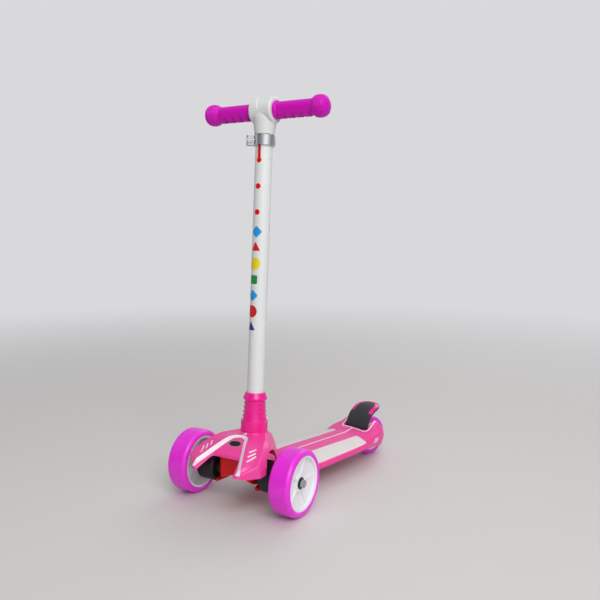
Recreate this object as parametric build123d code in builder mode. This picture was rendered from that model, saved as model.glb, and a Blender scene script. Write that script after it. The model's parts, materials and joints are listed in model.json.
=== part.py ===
from build123d import *
import os
from math import cos, radians, sin

# Sizes are in millimetres and angles in degrees. The steering axis stands on the origin, +Y runs along
# the deck to the rear, +X is the rider's left, and the wheels stand on Z = 0.

# Fits
running_clearance = 0.05
body_gap = 0.3
seat_clearance = 0.02
edge_break = 1.0
bolt_tail = 1.5

# Stance and steering
steer_angle = 16.5
pole_rake = 4.47
pole_foot_z = 54.0
axle_lead = 33.4
front_track = 223.4
wheelbase = 336.0

# Wheels, axles and bearings
front_wheel_diameter = 120.0
front_wheel_width = 43.0
front_rim_diameter = 98.0
front_hub_recess = 8.6
front_hub_inset = 4.0
rear_wheel_diameter = 84.0
rear_wheel_width = 28.0
rear_rim_diameter = 62.0
rear_hub_recess = 2.0
tyre_lip = 2.0
rim_wall = 3.5
hub_radius = 15.0
web_thickness = 4.0
web_dish = 4.5
rim_rib_count = 5
rim_rib_thickness = 3.0
rim_rib_root = 0.5
bearing_diameter = 22.0
bearing_width = 7.0
bearing_lip = 2.0
axle_diameter = 8.0
axle_nut_flats = 13.0
axle_nut_height = 5.6
axle_washer_diameter = 16.0
axle_washer_thickness = 1.6
spacer_wall = 2.0

# Steering core, kingpin and axle housings
core_half_width = 36.0
core_front_y = -61.0
core_bottom_z = 36.0
core_top_z = 100.0
core_heel_radius = 26.0
core_corner = 10.0
core_foot_half_width = 48.0
core_foot_height = 6.0
core_arch_half = 44.0
core_arch_height = 22.0
core_arch_fall = 17.0
eye_radius = 24.0
eye_front_gap = 3.0
eye_bottom_z = 40.5
eye_top_z = 53.5
kingpin_diameter = 10.0
kingpin_head_flats = 16.0
kingpin_head_height = 6.0
kingpin_nut_height = 7.0
kingpin_socket_gap = 2.0
kingpin_seat = 7.0
kingpin_washer_thickness = 1.5
bush_wall = 3.0
bush_flange_radius = 12.0
bush_flange = 1.5
housing_radius = 29.0
housing_neck_radius = 16.0
housing_inner_x = 50.0
housing_outer_x = 88.0
housing_edge = 4.0
column_bolt_diameter = 6.0
column_bolt_height = 30.0
column_seat = 21.0
column_bolt_head = 10.0
column_bolt_head_height = 4.0

# Hood over the steering core
hood_wall = 3.0
hood_base_z = 78.5
hood_top_z = 125.5
hood_half_width = 77.0
hood_tip_x = 39.0
hood_tip_y = -121.0
hood_tip_lift = 4.0
hood_notch_half = 29.0
hood_notch_corner = 9.0
hood_notch_y = -84.4
hood_notch_z = 99.5
hood_rear_y = 31.0
hood_arch_radius = 32.0
hood_arch_y = -40.0
hood_arch_z = 80.0
hood_arch_inner = 42.0
hood_edge = 4.5
hood_tip_width = 8.0
hood_tip_z = 86.5
hood_tip_corner = 3.5
hood_corner = 9.0
hood_corner_y = -90.0
hood_flank_y = -76.0
hood_waist = 62.0
hood_waist_y = -10.0
hood_round_angle = 30.0
hood_round_start = 20.0
hood_round_width = 27.3
hood_round_z = 74.0
hood_brow_y = -58.0
hood_brow_z = 117.5
hood_plateau_y = -12.0
hood_rear_drop = 10.0
hood_shoulder_z = 92.0
hood_crown = 8.5
hood_crown_rise = 1.0
hood_seat_radius = 26.5
hood_seat_flare = 9.0
hood_seat_height = 14.0
hood_boss_radius = 5.0
hood_boss_x = 27.0
hood_boss_y = (-48.0, -12.0)
hood_screw_diameter = 4.0
hood_screw_head = 7.6
hood_screw_head_height = 2.6
hood_screw_seat = 8.0
hood_screw_depth = 10.0
badge_length = 27.0
badge_height = 16.5
badge_frame = 1.4
badge_depth = 1.4
badge_y = -56.0
badge_z = 116.5
badge_tilt = 24.0

# Pole, guide sleeve and collar, with heights measured along the pole from its foot
pole_diameter = 32.0
pole_wall = 1.8
pole_bottom = 12.0
pole_top = 625.0
pole_slot_width = 6.5
pole_slot_end = 577.3
pole_slot_eye = 10.0
pole_hole_diameter = 10.4
pole_hole_pitch = 47.5
pole_hole_count = 2
guide_bottom = 468.0
guide_wall = 1.45
guide_dome = 0.6
collar_seat = 71.5
collar_ring_diameter = 51.0
collar_ring_height = 20.8
collar_ring_floor = 14.5
collar_ring_lip = 2.8
collar_waist_diameter = 39.0
collar_waist_top = 131.5
collar_cap_diameter = 45.0
collar_cap_height = 13.6
collar_cap_chamfer = 4.0
collar_rib_count = 4
collar_rib_pitch = 8.0
collar_rib_height = 0.8
collar_rib_arc = 80.0

# Quick-release clamp
clamp_bottom = 605.0
clamp_height = 18.0
clamp_wall = 4.0
clamp_azimuth = 210.0
clamp_slit = 3.0
clamp_ear_thickness = 5.0
clamp_ear_reach = 33.0
clamp_bolt_diameter = 6.0
clamp_bolt_reach = 26.5
clamp_bolt_head = 10.0
clamp_bolt_head_height = 4.0
clamp_barrel_diameter = 9.0
clamp_barrel_length = 12.0
lever_hub_radius = 7.5
lever_width = 10.0
lever_gap = 0.8
lever_thickness = 4.0
lever_start = 35.0
lever_sweep = 110.0

# Handlebar
bar_height = 669.2
bar_diameter = 22.0
bar_wall = 1.5
bar_length = 252.0
head_barrel_radius = 23.8
head_valley = 1.6
head_valley_half = 11.5
head_valley_foot = 660.0
head_valley_corner = 4.0
head_half_width = 23.5
head_neck_radius = 18.4
head_neck_top = 654.0
head_edge = 3.5
head_socket_top = 652.0
upper_tube_wall = 1.5
upper_tube_bottom = 300.0
plug_length = 26.0
plug_flange = 8.0
head_bolt_diameter = 5.0
head_bolt_height = 638.0
head_bolt_head = 9.0
head_bolt_head_height = 3.0
grip_diameter = 29.0
grip_flange_diameter = 34.0
grip_flange_length = 7.0
grip_ball_diameter = 39.0
grip_ball_length = 33.0
grip_cap = 7.0
grip_wave_count = 4
grip_wave_depth = 1.6

# Deck. Each station is: distance to the rear, half width, height of the top edge, of the crown and floor.
deck_stations = (
    (58.0, 34.0, 51.5, 55.0, 39.5),
    (78.0, 62.0, 52.5, 60.0, 39.0),
    (97.0, 74.5, 53.0, 63.5, 39.0),
    (180.0, 70.0, 53.0, 64.0, 39.0),
    (wheelbase - 86.0, 63.5, 53.5, 64.5, 39.0),
    (wheelbase - 46.0, 59.5, 65.0, 70.5, 37.0),
    (wheelbase - 19.0, 55.0, 68.0, 94.0, 33.0),
    (wheelbase + 1.0, 43.0, 63.0, 86.0, 30.0),
    (wheelbase + 19.0, 19.0, 54.0, 66.0, 32.0),
)
deck_pocket_sections = (
    (102.0, 74.0, 53.0, 63.5, 39.0),
    (180.0, 70.0, 53.0, 64.0, 39.0),
    (wheelbase - 86.0, 63.5, 53.5, 64.5, 39.0),
    (wheelbase - 70.0, 61.5, 54.5, 65.5, 39.0),
)
deck_section_count = 21
deck_floor_inset = 7.0
deck_edge_inset = 2.0
deck_wall = 4.0
deck_rib_floor = 40.0
deck_rib_thickness = 3.0
deck_rib_count = 5
deck_rail_x = 28.0
neck_length = 84.0
well_lead = 49.0
well_half_width = 33.0
well_corner = 9.0
well_floor_z = 50.0
fork_half_width = 17.0
rear_nut_recess = 32.0
rear_nut_room = 4.0

# Foot brake
brake_pin_lead = 44.5
brake_pin_z = 57.5
brake_pin_diameter = 4.0
brake_pin_length = 82.0
pedal_centre_trail = 7.0
pedal_centre_z = 62.0
pedal_radius = 52.0
pedal_thickness = 4.0
pedal_half_width = 29.5
pedal_crown = 4.0
pedal_end_trail = 19.0
pedal_corner = 27.0
pedal_boss_radius = 3.6
pedal_boss_half = 25.0
pedal_spring_gap = 9.0
pad_gap = 5.0
pad_thickness = 6.0
pad_half_width = 11.0
pad_lead = 18.0
pad_length = 20.0
pad_rib_thickness = 4.0
inlay_width = 9.0
inlay_reach = 44.0
inlay_depth = 1.2
spring_wire = 1.2
spring_pitch = 1.5
spring_turns = 4.25
spring_leg = 4.5

# Values worked out from those above
front_radius = front_wheel_diameter / 2
rear_radius = rear_wheel_diameter / 2
axle_radius = axle_diameter / 2
bearing_radius = bearing_diameter / 2
pole_radius = pole_diameter / 2
pole_bore = pole_radius - pole_wall
guide_bore = pole_bore - seat_clearance - guide_wall
upper_radius = guide_bore - running_clearance
front_half_track = front_track / 2
rear_hub_half = rear_wheel_width / 2 - rear_hub_recess
front_hub_face = front_wheel_width / 2 - front_hub_recess
front_hub_back = -front_wheel_width / 2 + front_hub_inset
slot_bottom_z = eye_bottom_z - bush_flange - body_gap
slot_top_z = eye_top_z + bush_flange + body_gap
kingpin_radius = kingpin_diameter / 2
kingpin_seat_z = slot_top_z + kingpin_seat
kingpin_nut_z = slot_bottom_z - kingpin_washer_thickness
bar_radius = bar_diameter / 2
grip_end = bar_length / 2 + grip_cap
grip_ball_start = grip_end - grip_ball_length
rake = radians(pole_rake)
well_front_y = wheelbase - well_lead
brake_pin_y = wheelbase - brake_pin_lead
pedal_centre_y = wheelbase + pedal_centre_trail
pedal_end_y = wheelbase + pedal_end_trail
pad_front_y = wheelbase - pad_lead
pad_middle_y = pad_front_y + pad_length / 2

pole = Plane((0, 0, pole_foot_z), x_dir=(1, 0, 0), z_dir=(0, sin(rake), cos(rake)))
pole_section = Plane(pole.origin, x_dir=pole.x_dir, z_dir=-pole.y_dir)
pole_axis = Axis(pole.origin, pole.z_dir)
front_axle_line = Plane((0, -axle_lead, front_radius), x_dir=(1, 0, 0), z_dir=(0, 0, 1))
rear_axle_line = Plane((0, wheelbase, rear_radius), x_dir=(1, 0, 0), z_dir=(0, 0, 1))
brake_line = Plane((0, brake_pin_y, brake_pin_z), x_dir=(1, 0, 0), z_dir=(0, 0, 1))
bar_line = Plane(pole.from_local_coords((0, 0, bar_height)), x_dir=(1, 0, 0), z_dir=pole.z_dir)
column_line = Plane(pole.from_local_coords((0, 0, column_bolt_height)), x_dir=(1, 0, 0), z_dir=(0, 0, 1))
hood_boss_places = [(sign * hood_boss_x, y) for sign in (1, -1) for y in hood_boss_y]
sides = {"left": 1, "right": -1}


def spin_axis(line):
    """Axis along a section plane's own X direction."""
    return Axis(line.origin, line.x_dir)


def outward(line, sign, distance=0.0):
    """Section plane with its X direction to one side, moved along it by a distance."""
    origin = line.origin + line.x_dir * sign * distance
    return Plane(origin, x_dir=line.x_dir * sign, z_dir=line.z_dir)


def facing(line, sign, distance):
    """Plane across an axle line, looking to one side, at a distance from the middle."""
    return Plane(line.origin + line.x_dir * sign * distance, x_dir=line.z_dir, z_dir=line.x_dir * sign)


def spun(plane, angle):
    """Plane turned about its own Z direction."""
    turn = radians(angle)
    return Plane(plane.origin, x_dir=plane.x_dir * cos(turn) + plane.y_dir * sin(turn), z_dir=plane.z_dir)


def turned(section, axis, points):
    """Solid turned about an axis from a closed outline in a section plane."""
    with BuildPart() as solid:
        with BuildSketch(section):
            with BuildLine():
                Polyline(*points, close=True)
            make_face()
        revolve(axis=axis)
    return solid.part


def tube(plane, outer, inner, length):
    """Plain round tube standing on a plane."""
    with BuildPart() as solid:
        with BuildSketch(plane):
            Circle(outer)
            Circle(inner, mode=Mode.SUBTRACT)
        extrude(amount=length)
    return solid.part


def nut(plane, flats, height, hole):
    """Hexagon nut seated on a plane."""
    with BuildPart() as solid:
        with BuildSketch(plane):
            RegularPolygon(flats / 2, 6, major_radius=False)
            Circle(hole, mode=Mode.SUBTRACT)
        extrude(amount=height)
    return solid.part


def bolt(plane, radius, length, head_radius, head_height):
    """Round-headed bolt: the head stands on the plane and the shank goes down through it."""
    with BuildPart() as solid:
        with BuildSketch(plane):
            Circle(head_radius)
        extrude(amount=head_height)
        with BuildSketch(plane):
            Circle(radius)
        extrude(amount=-length)
    return solid.part


def make_tyre(line, radius, width, seat_radius):
    """Tyre with round shoulders that start at the chamfered lips on its seat."""
    half = width / 2
    lip_radius = seat_radius + tyre_lip
    crown_half = half - (radius - lip_radius)
    with BuildPart() as tyre:
        with BuildSketch(line):
            with BuildLine():
                Polyline(
                    (-half, lip_radius),
                    (-half + tyre_lip, seat_radius),
                    (half - tyre_lip, seat_radius),
                    (half, lip_radius),
                )
                TangentArc((half, lip_radius), (crown_half, radius), tangent=(0, 1))
                Line((crown_half, radius), (-crown_half, radius))
                TangentArc((-crown_half, radius), (-half, lip_radius), tangent=(-1, 0))
            make_face()
        revolve(axis=spin_axis(line))
    return tyre.part


def make_rim(line, width, seat_radius, hub_face, hub_back):
    """Dished rim: barrel, sloping web, hub with a bearing seat in each end, and radial ribs."""
    half = width / 2 - tyre_lip
    barrel = seat_radius - rim_wall
    web_hub = hub_face - web_dish
    web_barrel = web_hub + web_dish
    with BuildPart() as rim:
        with BuildSketch(line):
            with BuildLine():
                Polyline(
                    (-half, seat_radius),
                    (half, seat_radius),
                    (half, barrel + edge_break),
                    (half - edge_break, barrel),
                    (web_barrel, barrel),
                    (web_hub, hub_radius),
                    (hub_face, hub_radius),
                    (hub_face, bearing_radius),
                    (hub_face - bearing_width, bearing_radius),
                    (hub_face - bearing_width, bearing_radius - bearing_lip),
                    (hub_back + bearing_width, bearing_radius - bearing_lip),
                    (hub_back + bearing_width, bearing_radius),
                    (hub_back, bearing_radius),
                    (hub_back, hub_radius),
                    (web_hub - web_thickness, hub_radius),
                    (web_barrel - web_thickness, barrel),
                    (-half, barrel),
                    close=True,
                )
            make_face()
        revolve(axis=spin_axis(line))
        for rib in range(rim_rib_count):
            with BuildSketch(line.rotated((360 * rib / rim_rib_count, 0, 0))):
                with BuildLine():
                    Polyline(
                        (web_hub - 2 * web_thickness, hub_radius - rim_rib_root),
                        (hub_face - rim_rib_root, hub_radius - rim_rib_root),
                        (web_barrel + edge_break, barrel + rim_rib_root),
                        (web_barrel - 2 * web_thickness, barrel + rim_rib_root),
                        close=True,
                    )
                make_face()
            extrude(amount=rim_rib_thickness / 2, both=True)
    return rim.part


def make_bearings(line, hub_face, hub_back):
    """Pair of ball bearings, one in each end of a hub."""
    with BuildPart() as bearings:
        for inner in (hub_back, hub_face - bearing_width):
            add(
                turned(
                    line,
                    spin_axis(line),
                    (
                        (inner, axle_radius + running_clearance),
                        (inner + bearing_width, axle_radius + running_clearance),
                        (inner + bearing_width, bearing_radius),
                        (inner, bearing_radius),
                    ),
                )
            )
    return bearings.part


def make_bearing_spacer(line, hub_face, hub_back):
    """Sleeve that keeps the two bearings of a hub apart."""
    bore = axle_radius + running_clearance
    low = hub_back + bearing_width
    high = hub_face - bearing_width
    points = ((low, bore), (high, bore), (high, bore + spacer_wall), (low, bore + spacer_wall))
    return turned(line, spin_axis(line), points)


# Front wheels, one set of pieces on each side
front_wheels = {}
for side, sign in sides.items():
    wheel_line = outward(front_axle_line, sign, front_half_track)
    seat = front_rim_diameter / 2
    with BuildPart() as front_tyre:
        add(make_tyre(wheel_line, front_radius, front_wheel_width, seat))
    with BuildPart() as front_rim:
        add(make_rim(wheel_line, front_wheel_width, seat, front_hub_face, front_hub_back))
    with BuildPart() as front_bearings:
        add(make_bearings(wheel_line, front_hub_face, front_hub_back))
    with BuildPart() as front_spacer:
        add(make_bearing_spacer(wheel_line, front_hub_face, front_hub_back))
    front_wheels[f"front_{side}_tyre"] = front_tyre
    front_wheels[f"front_{side}_rim"] = front_rim
    front_wheels[f"front_{side}_bearings"] = front_bearings
    front_wheels[f"front_{side}_bearing_spacer"] = front_spacer

# Rear wheel
with BuildPart() as rear_tyre:
    add(make_tyre(rear_axle_line, rear_radius, rear_wheel_width, rear_rim_diameter / 2))

with BuildPart() as rear_rim:
    add(make_rim(rear_axle_line, rear_wheel_width, rear_rim_diameter / 2, rear_hub_half, -rear_hub_half))

with BuildPart() as rear_bearings:
    add(make_bearings(rear_axle_line, rear_hub_half, -rear_hub_half))

with BuildPart() as rear_bearing_spacer:
    add(make_bearing_spacer(rear_axle_line, rear_hub_half, -rear_hub_half))

# Axles with their nuts, washers and spacers
front_washer_x = front_half_track + front_hub_face + body_gap
front_nut_x = front_washer_x + axle_washer_thickness
front_axle_end = front_nut_x + axle_nut_height + bolt_tail

with BuildPart() as front_axle:
    with BuildSketch(facing(front_axle_line, 1, -front_axle_end)):
        Circle(axle_radius)
    extrude(amount=2 * front_axle_end)
    chamfer(front_axle.edges().filter_by(GeomType.CIRCLE), edge_break)

with BuildPart() as front_axle_nuts:
    for sign in sides.values():
        add(nut(facing(front_axle_line, sign, front_nut_x), axle_nut_flats, axle_nut_height, axle_radius))

with BuildPart() as front_axle_washers:
    for sign in sides.values():
        seat_plane = facing(front_axle_line, sign, front_washer_x)
        add(tube(seat_plane, axle_washer_diameter / 2, axle_radius, axle_washer_thickness))

rear_axle_end = rear_nut_recess + axle_nut_height + bolt_tail

with BuildPart() as rear_axle:
    with BuildSketch(facing(rear_axle_line, 1, -rear_axle_end)):
        Circle(axle_radius)
    extrude(amount=2 * rear_axle_end)
    chamfer(rear_axle.edges().filter_by(GeomType.CIRCLE), edge_break)

with BuildPart() as rear_axle_nuts:
    for sign in sides.values():
        seat = facing(rear_axle_line, sign, rear_nut_recess)
        add(nut(seat, axle_nut_flats, axle_nut_height, axle_radius))

with BuildPart() as rear_axle_spacers:
    for sign in sides.values():
        seat_plane = facing(rear_axle_line, sign, rear_hub_half + body_gap)
        length = fork_half_width - rear_hub_half - body_gap
        add(tube(seat_plane, axle_radius + spacer_wall, axle_radius, length))

# Black axle housings on each side of the core
housings = {}
housing_nose = front_half_track + front_hub_back - body_gap
for side, sign in sides.items():
    with BuildPart() as axle_housing:
        add(
            turned(
                outward(front_axle_line, sign),
                spin_axis(front_axle_line),
                (
                    (core_half_width, axle_radius),
                    (core_half_width, housing_neck_radius),
                    (housing_inner_x, housing_neck_radius),
                    (housing_inner_x, housing_radius - housing_edge),
                    (housing_inner_x + housing_edge, housing_radius),
                    (housing_outer_x - housing_edge, housing_radius),
                    (housing_outer_x, housing_radius - housing_edge),
                    (housing_outer_x, axle_radius + 2 * spacer_wall),
                    (housing_nose, axle_radius + spacer_wall),
                    (housing_nose, axle_radius),
                ),
            )
        )
    housings[f"axle_housing_{side}"] = axle_housing

# Kingpin, standing upright through the eye of the deck
with BuildPart() as kingpin:
    with BuildSketch(Plane.XY.offset(kingpin_nut_z - kingpin_nut_height - bolt_tail)):
        Circle(kingpin_radius)
    extrude(amount=kingpin_seat_z - kingpin_nut_z + kingpin_nut_height + bolt_tail)
    with BuildSketch(Plane.XY.offset(kingpin_seat_z)):
        RegularPolygon(kingpin_head_flats / 2, 6, major_radius=False)
    extrude(amount=kingpin_head_height)

with BuildPart() as kingpin_nut:
    nut_seat = Plane.XY.offset(kingpin_nut_z - kingpin_nut_height)
    add(nut(nut_seat, kingpin_head_flats, kingpin_nut_height, kingpin_radius))

with BuildPart() as kingpin_washer:
    washer_radius = kingpin_head_flats / 2 + edge_break
    add(tube(Plane.XY.offset(kingpin_nut_z), washer_radius, kingpin_radius, kingpin_washer_thickness))

with BuildPart() as steering_bushes:
    bush_radius = kingpin_radius + running_clearance + bush_wall
    bush_half = (eye_top_z - eye_bottom_z) / 2
    for eye_face, up in ((eye_top_z, 1), (eye_bottom_z, -1)):
        face = Plane((0, 0, eye_face), x_dir=(1, 0, 0), z_dir=(0, 0, up))
        with BuildSketch(face):
            Circle(bush_flange_radius)
        extrude(amount=bush_flange)
        with BuildSketch(face):
            Circle(bush_radius)
        extrude(amount=body_gap - bush_half)
    with BuildSketch(Plane.XY):
        Circle(kingpin_radius + running_clearance)
    extrude(amount=eye_top_z + 2 * bush_flange, mode=Mode.SUBTRACT)

# Steering core: it sits on the eye of the deck, bridges the axle at its front and holds the pole in its top
fall = radians(core_arch_fall)
core_arch = Plane((0, core_front_y, core_bottom_z), x_dir=(1, 0, 0), z_dir=(0, cos(fall), -sin(fall)))

with BuildPart() as truck_core:
    with BuildSketch(Plane.XY.offset(core_bottom_z)):
        Circle(core_heel_radius)
        with Locations((0, core_front_y / 2)):
            Rectangle(2 * core_half_width, -core_front_y)
        fillet(vertices().group_by(Axis.Y)[0], core_corner)
    extrude(amount=core_top_z - core_bottom_z)
    with BuildSketch(Plane.XY.offset(core_bottom_z)):
        with Locations((0, -axle_lead)):
            RectangleRounded(2 * core_foot_half_width, 2 * eye_radius, core_corner)
    extrude(amount=core_foot_height)
    with BuildSketch(Plane.XY):
        with Locations((0, -eye_radius - eye_front_gap)):
            Rectangle(4 * core_half_width, 4 * core_half_width, align=(Align.CENTER, Align.MIN))
    extrude(amount=slot_top_z, mode=Mode.SUBTRACT)
    with BuildSketch(core_arch):
        Ellipse(core_arch_half, core_arch_height)
    extrude(amount=4 * core_half_width, both=True, mode=Mode.SUBTRACT)
    with BuildSketch(Plane.XY.offset(core_bottom_z)):
        Circle(kingpin_radius)
    extrude(amount=core_top_z, mode=Mode.SUBTRACT)
    with BuildSketch(Plane.XY.offset(kingpin_seat_z)):
        Circle(kingpin_head_flats / 2 + kingpin_socket_gap)
    extrude(amount=core_top_z, mode=Mode.SUBTRACT)
    with BuildSketch(pole.offset(pole_bottom)):
        Circle(pole_radius + seat_clearance)
    extrude(amount=core_top_z, mode=Mode.SUBTRACT)
    with BuildSketch(facing(front_axle_line, 1, 0)):
        Circle(axle_radius)
    extrude(amount=2 * core_foot_half_width, both=True, mode=Mode.SUBTRACT)
    with BuildSketch(facing(column_line, 1, 0)):
        Circle(column_bolt_diameter / 2)
    extrude(amount=2 * core_half_width, both=True, mode=Mode.SUBTRACT)
    for sign in sides.values():
        with BuildSketch(facing(column_line, sign, column_seat)):
            Circle(column_bolt_head / 2 + kingpin_socket_gap)
        extrude(amount=core_half_width, mode=Mode.SUBTRACT)
    with BuildSketch(Plane.XY.offset(core_bottom_z)):
        with Locations(*hood_boss_places):
            Circle(hood_screw_head / 2 + body_gap)
    extrude(amount=core_top_z - hood_screw_seat - core_bottom_z, mode=Mode.SUBTRACT)
    with BuildSketch(Plane.XY.offset(core_bottom_z)):
        with Locations(*hood_boss_places):
            Circle(hood_screw_diameter / 2 + body_gap)
    extrude(amount=core_top_z, mode=Mode.SUBTRACT)

with BuildPart() as column_bolt:
    add(
        bolt(
            facing(column_line, 1, column_seat),
            column_bolt_diameter / 2,
            2 * column_seat + column_bolt_head_height,
            column_bolt_head / 2,
            column_bolt_head_height,
        )
    )

with BuildPart() as column_nut:
    nut_seat = facing(column_line, -1, column_seat)
    add(nut(nut_seat, column_bolt_head, column_bolt_head_height, column_bolt_diameter / 2))


# Hood: outlines crossed from above, the side, the front and both rear corners give the form, and the same
# outlines set in by the wall give its hollow
round_turn = radians(hood_round_angle)


def halfway(start, end):
    """Middle of two points of an outline."""
    return ((start[0] + end[0]) / 2, (start[1] + end[1]) / 2)


def hood_form(inset):
    """Solid of the hood's outer form, or of its hollow when the outlines are set in."""
    half_width = hood_half_width - inset
    notch = (hood_notch_half + inset / 2, hood_notch_y + inset)
    tip = (hood_tip_x + inset / 2, hood_tip_y + 2 * inset)
    tip_end = (tip[0] + hood_tip_width, tip[1])
    corner = (half_width, hood_corner_y + inset / 2)
    flank = (half_width, hood_flank_y)
    notch_side = halfway(notch, tip)
    wing_side = halfway(tip_end, corner)
    rear_y = hood_rear_y - inset
    top_z = hood_top_z - inset
    brow = (hood_brow_y, hood_brow_z - inset)
    waist = hood_waist - inset
    peak_z = top_z + hood_crown_rise
    round_width = hood_round_width - inset
    reach = 4 * hood_half_width
    with BuildPart() as form:
        with BuildSketch(Plane.XY.offset(hood_base_z)):
            with BuildLine():
                FilletPolyline((0, notch[1]), notch, notch_side, radius=hood_notch_corner + inset)
                FilletPolyline(notch_side, tip, tip_end, wing_side, radius=hood_tip_corner)
                FilletPolyline(wing_side, corner, flank, radius=hood_corner)
                Spline(
                    flank,
                    (waist, hood_waist_y - inset / 2),
                    (0, rear_y),
                    tangents=((0, 1), (-1, 0)),
                )
                mirror(about=Plane.YZ)
            make_face()
        extrude(amount=hood_top_z)
        with BuildSketch(Plane.YZ):
            with BuildLine():
                Polyline(
                    brow,
                    (tip[1], hood_tip_z),
                    (tip[1], 0),
                    (rear_y, 0),
                    (rear_y, top_z - hood_rear_drop),
                )
                Spline(
                    (rear_y, top_z - hood_rear_drop),
                    (hood_plateau_y, top_z),
                    brow,
                    tangents=((-1, 1), (tip[1] - brow[0], hood_tip_z - brow[1])),
                )
            make_face()
        extrude(amount=reach, both=True, mode=Mode.INTERSECT)
        with BuildSketch(Plane.XZ):
            with BuildLine():
                Polyline((0, 0), (half_width, 0), (half_width, hood_shoulder_z))
                Spline(
                    (half_width, hood_shoulder_z),
                    (waist, top_z - hood_crown),
                    (0, peak_z),
                    tangents=((-0.3, 1), (-1, 0)),
                )
                mirror(about=Plane.YZ)
            make_face()
        extrude(amount=reach, both=True, mode=Mode.INTERSECT)
        for sign in sides.values():
            across = Vector(sign * cos(round_turn), sin(round_turn), 0)
            with BuildSketch(Plane((0, 0, 0), x_dir=across, z_dir=across.cross(Vector(0, 0, 1)))):
                with BuildLine():
                    EllipticalCenterArc((hood_round_start, hood_round_z), round_width, peak_z - hood_round_z)
                    Polyline(
                        (hood_round_start, peak_z),
                        (-reach, peak_z),
                        (-reach, 0),
                        (hood_round_start + round_width, 0),
                        (hood_round_start + round_width, hood_round_z),
                    )
                make_face()
            extrude(amount=reach, both=True, mode=Mode.INTERSECT)
    return form.part


tilt = radians(badge_tilt)
badge_plane = Plane((0, badge_y, badge_z), x_dir=(1, 0, 0), z_dir=(0, -sin(tilt), cos(tilt)))

with BuildPart() as hood_bosses:
    with BuildSketch(Plane.XY.offset(core_top_z)):
        with Locations(*hood_boss_places):
            Circle(hood_boss_radius)
    extrude(amount=hood_top_z)
    add(hood_form(hood_wall / 2), mode=Mode.INTERSECT)

with BuildPart() as front_shell:
    add(hood_form(0))
    rim_edges = front_shell.edges().filter_by(
        lambda edge: edge.center().Z > hood_base_z + hood_tip_lift and edge.center().Y < hood_arch_y
    )
    fillet(rim_edges.filter_by(Axis.Z, reverse=True), hood_edge)
    add(hood_form(hood_wall), mode=Mode.SUBTRACT)
    with BuildSketch(Plane.YZ):
        Polygon(
            (hood_tip_y - hood_wall, 0),
            (hood_tip_y - hood_wall, hood_base_z + hood_wall),
            (hood_notch_y - hood_wall, hood_notch_z),
            (hood_arch_y, hood_notch_z),
            (hood_arch_y, 0),
            align=None,
        )
    extrude(amount=hood_tip_x + hood_tip_width / 3, both=True, mode=Mode.SUBTRACT)
    with BuildSketch(Plane.YZ):
        Polygon(
            (hood_tip_y - hood_wall, hood_base_z - hood_wall),
            (hood_tip_y - hood_wall, hood_base_z + hood_tip_lift),
            (hood_tip_y, hood_base_z + hood_tip_lift),
            (hood_corner_y - hood_corner, hood_base_z - hood_wall),
            align=None,
        )
    extrude(amount=hood_half_width, both=True, mode=Mode.SUBTRACT)
    for sign in sides.values():
        with BuildSketch(Plane((sign * hood_arch_inner, 0, 0), x_dir=(0, 1, 0), z_dir=(sign, 0, 0))):
            with Locations((hood_arch_y, sign * hood_arch_z)):
                Circle(hood_arch_radius)
            with Locations((hood_arch_y, sign * hood_arch_z / 2)):
                Rectangle(2 * hood_arch_radius, hood_arch_z)
        extrude(amount=hood_half_width, mode=Mode.SUBTRACT)
    add(hood_bosses.part)
    add(
        turned(
            pole_section,
            pole_axis,
            (
                (0, collar_seat),
                (hood_seat_radius, collar_seat),
                (hood_seat_radius + hood_seat_flare, collar_seat - hood_seat_height),
                (0, collar_seat - hood_seat_height),
            ),
        )
    )
    with BuildSketch(pole):
        Circle(pole_radius + body_gap)
    extrude(amount=2 * hood_top_z, mode=Mode.SUBTRACT)
    with BuildSketch(Plane.XY.offset(core_top_z)):
        with Locations(*hood_boss_places):
            Circle(hood_screw_diameter / 2)
    extrude(amount=hood_screw_depth, mode=Mode.SUBTRACT)
    with BuildSketch(badge_plane):
        Ellipse(badge_length / 2, badge_height / 2)
    extrude(amount=hood_wall, mode=Mode.SUBTRACT)

with BuildPart() as badge_frame_ring:
    with BuildSketch(badge_plane):
        Ellipse(badge_length / 2, badge_height / 2)
        Ellipse(badge_length / 2 - badge_frame, badge_height / 2 - badge_frame, mode=Mode.SUBTRACT)
    extrude(amount=badge_depth)

with BuildPart() as badge_face:
    with BuildSketch(badge_plane):
        Ellipse(badge_length / 2 - badge_frame, badge_height / 2 - badge_frame)
    extrude(amount=badge_depth - body_gap)

with BuildPart() as hood_screws:
    for x, y in hood_boss_places:
        seat_plane = Plane((x, y, core_top_z - hood_screw_seat), x_dir=(1, 0, 0), z_dir=(0, 0, -1))
        add(
            bolt(
                seat_plane,
                hood_screw_diameter / 2,
                hood_screw_seat + hood_screw_depth - body_gap,
                hood_screw_head / 2,
                hood_screw_head_height,
            )
        )

# Collar round the foot of the pole
collar_bore = pole_radius + seat_clearance
ring_radius = collar_ring_diameter / 2
ring_inner = ring_radius - collar_ring_lip
sleeve_bottom = collar_seat + collar_ring_floor
ring_top = collar_seat + collar_ring_height
waist_radius = collar_waist_diameter / 2
cap_radius = collar_cap_diameter / 2

with BuildPart() as collar_ring:
    add(
        turned(
            pole_section,
            pole_axis,
            (
                (collar_bore, collar_seat),
                (ring_radius, collar_seat),
                (ring_radius, ring_top - edge_break),
                (ring_radius - edge_break, ring_top),
                (ring_inner, ring_top),
                (ring_inner, sleeve_bottom),
                (collar_bore, sleeve_bottom),
            ),
        )
    )

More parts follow.
